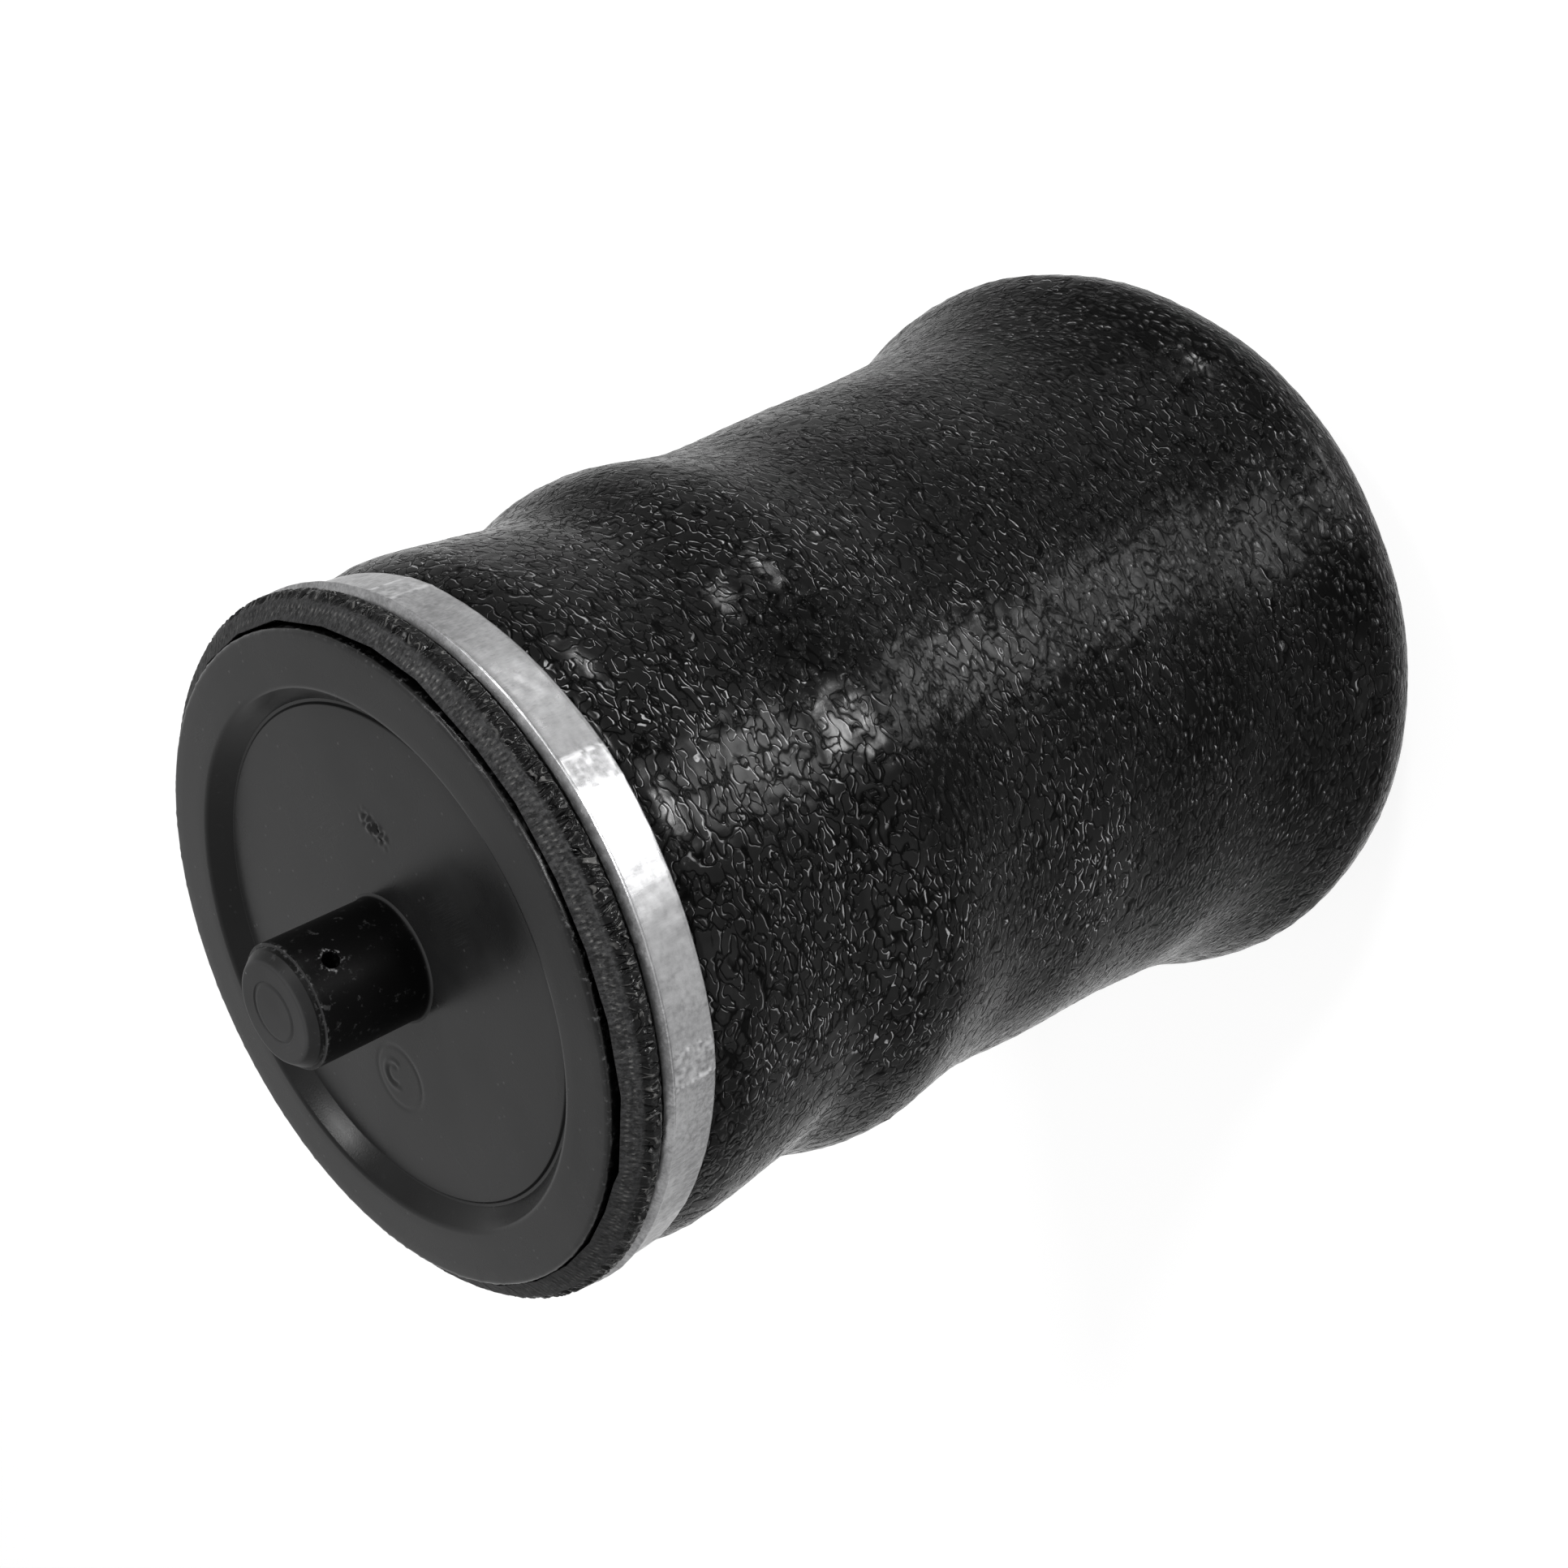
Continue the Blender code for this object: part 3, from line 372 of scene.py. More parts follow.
class Graph:
    """A short way to write a node tree."""

    def __init__(self, tree: bpy.types.NodeTree) -> None:
        """Keep the tree that the nodes go into."""
        self.tree = tree

    def node(
        self, kind: str, inputs: dict[object, object] | None = None, **settings: object
    ) -> bpy.types.Node:
        """Add a node.

        Args:
            kind: The node's type.
            inputs: A value or another node's output for each input, by name or number.
            settings: Values of the node's own settings.

        Returns:
            The node.
        """
        made = self.tree.nodes.new(kind)
        for name, value in settings.items():
            setattr(made, name, value)
        for name, value in (inputs or {}).items():
            self.feed(made.inputs[name], value)
        return made

    def feed(self, socket: bpy.types.NodeSocket, value: object) -> None:
        """Link an output to a socket, or set the socket's own value.

        Args:
            socket: The socket to feed.
            value: An output socket, or else a number, a vector or a colour.
        """
        if isinstance(value, bpy.types.NodeSocket):
            self.tree.links.new(value, socket)
        else:
            socket.default_value = value

    def math(self, operation: str, *values: object) -> bpy.types.NodeSocket:
        """The result of a Math node."""
        return self.node("ShaderNodeMath", dict(enumerate(values)), operation=operation).outputs[0]

    def vector(self, operation: str, first: object, second: object) -> bpy.types.NodeSocket:
        """The result of a Vector Math node."""
        return self.node("ShaderNodeVectorMath", {0: first, 1: second}, operation=operation).outputs[0]

    def spread(
        self, value: object, low: float, high: float, start: float = 0.0, end: float = 1.0
    ) -> bpy.types.NodeSocket:
        """A value that goes smoothly from start to end as the given one goes from low to high."""
        inputs = {"Value": value, "From Min": low, "From Max": high, "To Min": start, "To Max": end}
        return self.node("ShaderNodeMapRange", inputs, interpolation_type="SMOOTHSTEP").outputs[0]

    def noise(self, vector: object, scale: float, detail: float = 2.0, rough: float = 0.5) -> bpy.types.Node:
        """A Noise Texture node."""
        inputs = {"Vector": vector, "Scale": scale, "Detail": detail, "Roughness": rough}
        return self.node("ShaderNodeTexNoise", inputs)

    def cells(self, vector: object, scale: object, feature: str, randomness: float = 1.0) -> bpy.types.Node:
        """A Voronoi Texture node."""
        inputs = {"Vector": vector, "Scale": scale, "Randomness": randomness}
        return self.node("ShaderNodeTexVoronoi", inputs, feature=feature)

    def blend(self, factor: object, first: object, second: object) -> bpy.types.NodeSocket:
        """A mix of two colours.

        Args:
            factor: How much of the second colour.
            first: A colour or an output socket.
            second: A colour or an output socket.

        Returns:
            The mixed colour.
        """
        made = self.node("ShaderNodeMix", {0: factor}, data_type="RGBA")
        self.feed(made.inputs[6], first)
        self.feed(made.inputs[7], second)
        return made.outputs[2]


class Effect:
    """A node group with named inputs and outputs, built once and placed in many materials."""

    name = "effect"
    numbers: dict[str, float] = {}
    results: tuple[str, ...] = ("Height",)

    def tree(self) -> bpy.types.NodeTree:
        """The group, built on first use.

        Returns:
            The node group.
        """
        found = bpy.data.node_groups.get(self.name)
        if found:
            return found
        made = bpy.data.node_groups.new(self.name, "ShaderNodeTree")
        made.interface.new_socket("Vector", in_out="INPUT", socket_type="NodeSocketVector")
        for label, value in self.numbers.items():
            socket = made.interface.new_socket(label, in_out="INPUT", socket_type="NodeSocketFloat")
            socket.default_value = value
        for label in self.results:
            made.interface.new_socket(label, in_out="OUTPUT", socket_type="NodeSocketFloat")
        graph = Graph(made)
        given = graph.node("NodeGroupInput").outputs
        outputs = self.draw(graph, given)
        graph.node("NodeGroupOutput", dict(zip(self.results, outputs)))
        return made

    def draw(self, graph: Graph, given: bpy.types.bpy_prop_collection) -> list[bpy.types.NodeSocket]:
        """Add the group's nodes and return what it puts out."""
        raise NotImplementedError

    def place(self, graph: Graph, vector: object, **numbers: float) -> bpy.types.NodeOutputs:
        """Put the group in a material with its own values.

        Args:
            graph: The material's node tree.
            vector: The coordinates that the effect follows.
            numbers: Values of the group's inputs, with underscores for spaces.

        Returns:
            The group's outputs.
        """
        made = graph.node("ShaderNodeGroup", node_tree=self.tree())
        graph.feed(made.inputs["Vector"], vector)
        for label, value in numbers.items():
            graph.feed(made.inputs[label.replace("_", " ").title()], value)
        return made.outputs


class Wrinkle(Effect):
    """Winding grooves that part flat-topped cells, which turn to round pebbles where asked, and a mask of
    painted glints along one side of the grooves.
    """

    name = "wrinkle"
    numbers = {"Cell Size": 3.0, "Stretch": 1.5, "Pebble": 0.3}
    results = ("Height", "Groove", "Painted Glint")

    def draw(self, graph: Graph, given: bpy.types.bpy_prop_collection) -> list[bpy.types.NodeSocket]:
        """Grooves along the level lines of two smooth noises, pebbles at the middles of cells, and painted
        glints where the relief falls towards a point a little further along.

        Args:
            graph: The material's or group's node tree.
            given: The group's inputs by name.

        Returns:
            One output socket for each of the group's outputs.
        """
        scale = graph.math("DIVIDE", 1000.0, given["Cell Size"])
        stretch = graph.node("ShaderNodeCombineXYZ", {0: 1.0, 1: 1.0, 2: given["Stretch"]}).outputs[0]
        spot = graph.vector("MULTIPLY", given["Vector"], stretch)
        drift = graph.noise(spot, 300.0, 1.0).outputs["Color"]
        centred = graph.vector("SUBTRACT", drift, (0.5, 0.5, 0.5))
        warped = graph.vector("ADD", spot, graph.vector("MULTIPLY", centred, (0.0030, 0.0030, 0.0030)))
        patch = graph.noise(given["Vector"], 110.0, 1.0).outputs["Fac"]
        height = self.relief(graph, warped, scale, patch, given["Pebble"])
        # Painted glints: the relief is read again a little further along, mostly in z, which marks the edges
        # on one side of each groove, broken into dashes.
        ahead = graph.vector("ADD", warped, (0.00005, 0.00005, 0.00032))
        fall = graph.math("SUBTRACT", height, self.relief(graph, ahead, scale, patch, given["Pebble"]))
        broken = graph.spread(graph.noise(given["Vector"], 620.0, 1.0).outputs["Fac"], 0.42, 0.60)
        shoulder = graph.math("MULTIPLY", graph.spread(fall, 0.30, 0.70), broken)
        return [height, graph.math("SUBTRACT", 1.0, height), shoulder]

    def relief(
        self, graph: Graph, vector: object, scale: object, patch: object, pebble: object
    ) -> bpy.types.NodeSocket:
        """The height at a point, from nothing in a groove to one on a flat top.

        Args:
            graph: The material's or group's node tree.
            vector: Where the noise is read.
            scale: How fine the noise is, in cells for each unit of the vector.
            patch: A slow noise that varies the grooves' widths.
            pebble: How far the cells are rounded to pebbles.

        Returns:
            The height, from 0 to 1.
        """
        first = self.groove(graph, vector, scale, graph.spread(patch, 0.35, 0.65, 0.10, 0.07))
        shifted = graph.vector("ADD", vector, (0.31, 0.17, 0.23))
        second_scale = graph.math("MULTIPLY", scale, 1.35)
        second = self.groove(graph, shifted, second_scale, graph.spread(patch, 0.40, 0.70, 0.02, 0.09))
        flat = graph.math("MULTIPLY", first, second)
        spots = graph.cells(vector, graph.math("MULTIPLY", scale, 1.9), "F1", 0.9).outputs["Distance"]
        dots = graph.spread(spots, 0.16, 0.52, 1.0, 0.0)
        return graph.node("ShaderNodeMix", {0: pebble, 2: flat, 3: dots}).outputs[0]

    def groove(self, graph: Graph, vector: object, scale: object, width: object) -> bpy.types.NodeSocket:
        """Nothing on a noise's level line, one at this distance in its value.

        Args:
            graph: The material's or group's node tree.
            vector: Where the noise is read.
            scale: How fine the noise is, in cells for each unit of the vector.
            width: The distance in the noise's value that counts as one.

        Returns:
            The distance, from 0 to 1.
        """
        level = graph.noise(vector, 1.0, 0.0)
        graph.feed(level.inputs["Scale"], scale)
        away = graph.math("ABSOLUTE", graph.math("SUBTRACT", level.outputs["Fac"], 0.5))
        inputs = {"Value": away, "From Max": width}
        return graph.node("ShaderNodeMapRange", inputs, interpolation_type="SMOOTHSTEP").outputs[0]


class MouldedSkin(Effect):
    """The fine grain of a moulded face, with paler flow patches and small pits."""

    name = "moulded_skin"
    numbers = {"Coarseness": 1.0}
    results = ("Height", "Patch", "Speck")

    def draw(self, graph: Graph, given: bpy.types.bpy_prop_collection) -> list[bpy.types.NodeSocket]:
        """Fine noise for the grain, slow noise for the patches, the rarest cells for the specks.

        Args:
            graph: The material's or group's node tree.
            given: The group's inputs by name.

        Returns:
            One output socket for each of the group's outputs.
        """
        factors = {0: given["Vector"], 3: given["Coarseness"]}
        scaled = graph.node("ShaderNodeVectorMath", factors, operation="SCALE").outputs[0]
        grain = graph.noise(scaled, 3200.0, 3.0, 0.6).outputs["Fac"]
        slow = graph.noise(scaled, 38.0, 4.0, 0.55).outputs["Fac"]
        patch = graph.spread(slow, 0.3, 0.7)
        cell = graph.cells(scaled, 900.0, "F1")
        chance = graph.node("ShaderNodeSeparateColor", {0: cell.outputs["Color"]}).outputs[0]
        rare = graph.spread(chance, 0.91, 0.94)
        round_spot = graph.spread(cell.outputs["Distance"], 0.12, 0.26, 1.0, 0.0)
        return [grain, patch, graph.math("MULTIPLY", rare, round_spot)]


class Scuffs(Effect):
    """Thin scratches in a few directions, broken up so that none is long."""

    name = "scuffs"
    numbers = {"Amount": 0.5}
    results = ("Mask",)

    def draw(self, graph: Graph, given: bpy.types.bpy_prop_collection) -> list[bpy.types.NodeSocket]:
        """Noise drawn out along two headings and cut to its thinnest ridges.

        Args:
            graph: The material's or group's node tree.
            given: The group's inputs by name.

        Returns:
            One output socket for each of the group's outputs.
        """
        total = None
        for turn, scale in ((0.5, 240.0), (2.1, 310.0)):
            spun = graph.node(
                "ShaderNodeMapping",
                {"Vector": given["Vector"], "Rotation": (0.3, 0.2, turn), "Scale": (1.0, 0.06, 0.06)},
            ).outputs[0]
            line = graph.noise(spun, scale * 6, 1.0).outputs["Fac"]
            away = graph.math("ABSOLUTE", graph.math("SUBTRACT", line, 0.5))
            ridge = graph.spread(away, 0.0, 0.012, 1.0, 0.0)
            total = ridge if total is None else graph.math("MAXIMUM", total, ridge)
        gaps = graph.spread(graph.noise(given["Vector"], 70.0, 2.0).outputs["Fac"], 0.55, 0.72)
        return [graph.math("MULTIPLY", graph.math("MULTIPLY", total, gaps), given["Amount"])]


class MetalMottle(Effect):
    """Unevenness of a worked metal surface: cloudy tone, rolling lines and small dents."""

    name = "metal_mottle"
    numbers = {"Lines": 0.5}
    results = ("Tone", "Height")

    def draw(self, graph: Graph, given: bpy.types.bpy_prop_collection) -> list[bpy.types.NodeSocket]:
        """Cloud noise, noise stretched round the axis and along it, and patches of fine grit.

        Args:
            graph: The material's or group's node tree.
            given: The group's inputs by name.

        Returns:
            One output socket for each of the group's outputs.
        """
        cloud = graph.noise(given["Vector"], 90.0, 4.0, 0.6).outputs["Fac"]
        round_axis = {"Vector": given["Vector"], "Scale": (0.05, 0.05, 1.0)}
        flat = graph.node("ShaderNodeMapping", round_axis).outputs[0]
        rolled = graph.noise(flat, 2600.0, 3.0, 0.6).outputs["Fac"]
        along_axis = {"Vector": given["Vector"], "Scale": (1.0, 1.0, 0.3)}
        tall = graph.node("ShaderNodeMapping", along_axis).outputs[0]
        dragged = graph.noise(tall, 2600.0, 4.0, 0.65).outputs["Fac"]
        grit = graph.noise(given["Vector"], 1400.0, 4.0, 0.7).outputs["Fac"]
        gritty = graph.spread(graph.noise(given["Vector"], 55.0, 2.0).outputs["Fac"], 0.38, 0.52)
        marks = graph.node("ShaderNodeMix", {0: gritty, 2: dragged, 3: grit}).outputs[0]
        height = graph.node("ShaderNodeMix", {0: given["Lines"], 2: marks, 3: rolled}).outputs[0]
        tone = graph.math("ADD", graph.math("MULTIPLY", cloud, 0.45), graph.math("MULTIPLY", height, 0.55))
        return [tone, height]


# Finishes


@dataclass(frozen=True)
class Finish:
    """What every finish has: a name, the record's slot, a base colour and a roughness."""

    name: str
    slot: str
    colour: tuple[float, float, float]
    roughness: float

    def material(self) -> bpy.types.Material:
        """The material, built on first use.

        Returns:
            The material.
        """
        found = bpy.data.materials.get(self.name)
        if found:
            return found
        made = bpy.data.materials.new(self.name)
        made.use_nodes = True
        shader = made.node_tree.nodes["Principled BSDF"]
        shader.inputs["Roughness"].default_value = self.roughness
        shader.inputs["Base Color"].default_value = (*self.colour, 1.0)
        made.diffuse_color = (*self.colour, 1.0)
        self.detail(Graph(made.node_tree), shader.inputs)
        return made

    def detail(self, graph: Graph, shader: bpy.types.NodeInputs) -> None:
        """Add the finish's own nodes."""
        raise NotImplementedError

    def tint(self, share: float) -> tuple[float, float, float, float]:
        """The base colour, brighter or darker by a share."""
        return (*(min(1.0, channel * share) for channel in self.colour), 1.0)

    def bump(self, graph: Graph, shader: bpy.types.NodeInputs, height: object, depth: float) -> None:
        """Feed a height, as a depth in metres, to the shader's normal."""
        node = graph.node("ShaderNodeBump", {"Strength": 1.0, "Distance": depth, "Height": height})
        graph.feed(shader["Normal"], node.outputs[0])

    def dress(self, piece: bpy.types.Object) -> bpy.types.Object:
        """Give a piece this finish.

        Args:
            piece: The piece to finish.

        Returns:
            The same piece.
        """
        piece.data.materials.clear()
        piece.data.materials.append(self.material())
        return piece


def object_space(graph: Graph) -> bpy.types.NodeSocket:
    """The piece's Object coordinates."""
    return graph.node("ShaderNodeTexCoord").outputs["Object"]


def stored(graph: Graph, label: str, output: str) -> bpy.types.NodeSocket:
    """A value that the mesh keeps at each point."""
    return graph.node("ShaderNodeAttribute", attribute_name=label).outputs[output]


@dataclass(frozen=True)
class MouldedPlastic(Finish):
    """Filled nylon as it comes from the mould: matt, with flow patches, specks and scuffs, and where asked
    painted shade on faces that turn to the side and worn flecks.
    """

    grain_depth: float = 0.012 * MM
    speck: float = 3.2
    patchiness: float = 0.34
    gloss: float = 0.28
    shaded_and_worn: bool = False

    def detail(self, graph: Graph, shader: bpy.types.NodeInputs) -> None:
        """Patches and specks change the colour and the roughness, grain and scuffs the height.

        Args:
            graph: The material's or group's node tree.
            shader: The Principled shader of the material.
        """
        shader["Specular IOR Level"].default_value = self.gloss
        vector = object_space(graph)
        skin = MouldedSkin().place(graph, vector, coarseness=1.0)
        scuff = Scuffs().place(graph, vector, amount=0.7)["Mask"]
        tone = graph.blend(skin["Patch"], self.tint(1 - self.patchiness), self.tint(1 + self.patchiness))
        tone = graph.blend(skin["Speck"], tone, self.tint(self.speck))
        tone = graph.blend(graph.math("MULTIPLY", scuff, 0.5), tone, self.tint(1.9))
        if self.shaded_and_worn:
            # Painted shade: faces that turn to the side take a near-black tone, with patches of dust.
            dust = graph.spread(graph.noise(vector, 700.0, 4.0, 0.7).outputs["Fac"], 0.60, 0.70, 0.0, 0.5)
            side_shade = graph.blend(dust, self.tint(0.03), self.tint(0.8))
            tone = graph.blend(stored(graph, "unshaded", "Fac"), side_shade, tone)
            flecks = graph.spread(graph.noise(vector, 1300.0, 3.0, 0.7).outputs["Fac"], 0.52, 0.66)
            worn = graph.math("MULTIPLY", stored(graph, "wear", "Fac"), flecks)
            tone = graph.blend(worn, tone, self.tint(3.6))
        graph.feed(shader["Base Color"], tone)
        rough = graph.spread(skin["Patch"], 0.0, 1.0, self.roughness - 0.06, self.roughness + 0.06)
        graph.feed(shader["Roughness"], rough)
        height = graph.math("SUBTRACT", skin["Height"], graph.math("MULTIPLY", scuff, 0.8))
        self.bump(graph, shader, height, self.grain_depth)


@dataclass(frozen=True)
class WrinkledRubber(Finish):
    """The sleeve's cover: grooves and cells that follow the cover, the cells' tops polished, with painted
    shade in the grooves and painted glints on their edges.
    """

    cell: float = 3.0
    groove_depth: float = 0.32 * MM
    polish: float = 0.16
    polish_roughness: float = 0.22
    gloss: float = 0.02
    glint_colour: tuple[float, float, float, float] = (0.19, 0.19, 0.192, 1.0)

    def detail(self, graph: Graph, shader: bpy.types.NodeInputs) -> None:
        """The wrinkle's coordinates and its roundness are kept by the mesh.

        Args:
            graph: The material's or group's node tree.
            shader: The Principled shader of the material.
        """
        shader["Specular IOR Level"].default_value = self.gloss
        shader["Coat Roughness"].default_value = self.polish_roughness
        vector = stored(graph, "cover", "Vector")
        pebble = stored(graph, "pebble", "Fac")
        wrinkle = Wrinkle().place(graph, vector, cell_size=self.cell, stretch=1.5, pebble=pebble)
        cloud = graph.noise(vector, 60.0, 4.0, 0.6).outputs["Fac"]
        tone = graph.blend(graph.spread(cloud, 0.3, 0.7), self.tint(0.75), self.tint(1.3))
        # Painted shade: the grooves are darkened in the base colour.
        tone = graph.blend(graph.math("MULTIPLY", wrinkle["Groove"], 0.8), tone, self.tint(0.15))
        # Painted glints: a paler colour on the grooves' edges, in slow patches.
        glint_patch = graph.spread(graph.noise(vector, 45.0, 3.0, 0.6).outputs["Fac"], 0.35, 0.65, 0.25, 1.0)
        pale = graph.math("MULTIPLY", wrinkle["Painted Glint"], glint_patch)
        graph.feed(shader["Base Color"], graph.blend(pale, tone, self.glint_colour))
        rough = graph.spread(cloud, 0.3, 0.7, self.roughness - 0.04, self.roughness + 0.06)
        graph.feed(shader["Roughness"], rough)
        graph.feed(shader["Coat Weight"], graph.math("MULTIPLY", wrinkle["Height"], self.polish))
        fine = graph.noise(vector, 2600.0, 2.0, 0.5).outputs["Fac"]
        height = graph.math("ADD", wrinkle["Height"], graph.math("MULTIPLY", fine, 0.04))
        self.bump(graph, shader, height, self.groove_depth)


@dataclass(frozen=True)
class CutRubber(Finish):
    """The sleeve's cut end: greyer rubber, pale cord ends and a wrinkled outer skin with painted shade in its
    grooves and painted glints on their edges.
    """

    cord_and_glint_colour: tuple[float, float, float, float] = (0.150, 0.148, 0.143, 1.0)
    gloss: float = 0.09

    def detail(self, graph: Graph, shader: bpy.types.NodeInputs) -> None:
        """The mesh keeps where the cord ends and the cut face are.

        Args:
            graph: The material's or group's node tree.
            shader: The Principled shader of the material.
        """
        shader["Specular IOR Level"].default_value = self.gloss
        vector = stored(graph, "cover", "Vector")
        cord = stored(graph, "cord", "Fac")
        cut = stored(graph, "cut", "Fac")
        wrinkle = Wrinkle().place(graph, vector, cell_size=2.0, stretch=0.6, pebble=0.1)
        fray = graph.noise(vector, 1800.0, 4.0, 0.7).outputs["Fac"]
        face = graph.blend(graph.spread(fray, 0.35, 0.65), self.tint(1.8), self.tint(6.5))
        # Painted shade in the skin's grooves, then painted glints in the cord ends' colour on their edges.
        skin = graph.blend(wrinkle["Groove"], self.tint(0.8), self.tint(0.3))
        skin = graph.blend(graph.math("MULTIPLY", wrinkle["Painted Glint"], 0.35), skin, self.cord_and_glint_colour)
        tone = graph.blend(cut, skin, face)
        torn = graph.math("MULTIPLY", cord, graph.spread(fray, 0.40, 0.60))
        graph.feed(shader["Base Color"], graph.blend(torn, tone, self.cord_and_glint_colour))
        graph.feed(shader["Roughness"], graph.spread(cut, 0.0, 1.0, self.roughness, 0.62))
        torn_height = graph.math("MULTIPLY", fray, 0.6)
        height = graph.node("ShaderNodeMix", {0: cut, 2: wrinkle["Height"], 3: torn_height}).outputs[0]
        self.bump(graph, shader, height, 0.25 * MM)


@dataclass(frozen=True)
class PlainRubber(Finish):
    """Smooth moulded rubber of seals."""

    def detail(self, graph: Graph, shader: bpy.types.NodeInputs) -> None:
        """A faint cloud in the tone and a fine grain.

        Args:
            graph: The material's or group's node tree.
            shader: The Principled shader of the material.
        """
        vector = object_space(graph)
        cloud = graph.noise(vector, 300.0, 3.0).outputs["Fac"]
        graph.feed(shader["Base Color"], graph.blend(cloud, self.tint(0.8), self.tint(1.3)))
        self.bump(graph, shader, graph.noise(vector, 4000.0, 2.0).outputs["Fac"], 0.006 * MM)


@dataclass(frozen=True)
class CellularFoam(Finish):
    """Cellular polyurethane with its open skin."""

    def detail(self, graph: Graph, shader: bpy.types.NodeInputs) -> None:
        """Small round cells, darker inside.

        Args:
            graph: The material's or group's node tree.
            shader: The Principled shader of the material.
        """
        vector = object_space(graph)
        cell = graph.cells(vector, 1500.0, "F1").outputs["Distance"]
        # Painted shade: each cell's hollow is darker in the base colour.
        hollow = graph.spread(cell, 0.1, 0.5, 1.0, 0.0)
        graph.feed(shader["Base Color"], graph.blend(hollow, self.tint(1.15), self.tint(0.55)))
        self.bump(graph, shader, cell, 0.15 * MM)


@dataclass(frozen=True)
class WorkedMetal(Finish):
    """Swaged, turned or plated metal: cloudy tone, rolling lines and small dents."""

    lines: float = 0.5
    contrast: float = 0.25
    grit_depth: float = 0.01 * MM
    scuff: float = 0.5

    def detail(self, graph: Graph, shader: bpy.types.NodeInputs) -> None:
        """The mottle changes the colour, the roughness and the height.

        Args:
            graph: The material's or group's node tree.
            shader: The Principled shader of the material.
        """
        shader["Metallic"].default_value = 1.0
        vector = object_space(graph)
        mottle = MetalMottle().place(graph, vector, lines=self.lines)
        facet_sheen = stored(graph, "facet_sheen", "Fac")
        scuff = Scuffs().place(graph, vector, amount=self.scuff)["Mask"]
        tone = graph.spread(mottle["Tone"], 0.35, 0.65)
        colour = graph.blend(tone, self.tint(1 - self.contrast), self.tint(1 + self.contrast))
        # Painted reflection: the facet sheen that the ring's mesh keeps lightens its colour at the jaw ridges
        # and lands.
        colour = graph.blend(facet_sheen, colour, self.tint(2.4))
        graph.feed(shader["Base Color"], graph.blend(scuff, colour, self.tint(1.5)))
        rough = graph.spread(mottle["Tone"], 0.35, 0.65, self.roughness + 0.1, self.roughness - 0.06)
        graph.feed(shader["Roughness"], rough)
        self.bump(graph, shader, graph.math("SUBTRACT", mottle["Height"], scuff), self.grit_depth)


PLATE_PLASTIC = MouldedPlastic(
    "plate_nylon", "plate_plastic", (0.015, 0.015, 0.0152), 0.28, gloss=0.15, shaded_and_worn=True
)
# The plate's nylon again, in a shaded copy of its own: less gloss and a paler base, so that the post's sides
# render darker, as in shade.
POST_PLASTIC = MouldedPlastic(
    "post_nylon", "plate_plastic", (0.048, 0.048, 0.0485), 0.44, gloss=0.05, shaded_and_worn=True
)
PISTON_PLASTIC = MouldedPlastic("piston_nylon", "piston_plastic", (0.030, 0.030, 0.031), 0.5, speck=2.0)
COLLET_PLASTIC = MouldedPlastic("collet_acetal", "collet_plastic", (0.020, 0.020, 0.021), 0.38, speck=1.4)
COVER_RUBBER = WrinkledRubber("sleeve_cover", "sleeve_rubber", (0.0018, 0.0018, 0.0018), 0.14)
CUT_RUBBER = CutRubber("sleeve_cut_end", "sleeve_rubber", (0.0050, 0.0050, 0.0051), 0.20)
SEAL_RUBBER = PlainRubber("seal_rubber", "seal_rubber", (0.010, 0.010, 0.010), 0.4)
STOP_FOAM = CellularFoam("buffer_foam", "stop_foam", (0.120, 0.105, 0.070), 0.85)
RING_ALUMINIUM = WorkedMetal("swaged_aluminium", "ring_aluminium", (0.23, 0.23, 0.233), 0.31, 0.12, 0.42)
SCREW_STEEL = WorkedMetal("zinc_plated_steel", "screw_steel", (0.45, 0.45, 0.47), 0.32, 0.3, 0.15)
INSERT_BRASS = WorkedMetal("turned_brass", "insert_brass", (0.60, 0.43, 0.18), 0.30, 0.8, 0.12)


def settle(piece: bpy.types.Object, finish: Finish, body: Body, *nodes: str) -> bpy.types.Object:
    """Dress a piece, make it move with its body and let it stand for its nodes.

    Args:
        piece: The new piece.
        finish: Its finish.
        body: The body that carries it.
        nodes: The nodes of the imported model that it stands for.

    Returns:
        The piece.
    """
    finish.dress(piece)
    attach(piece, body.value)
    if nodes:
        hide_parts(*nodes)
    log.info("%s rides on %s", piece.name, body.value)
    return piece


# Sub-assemblies


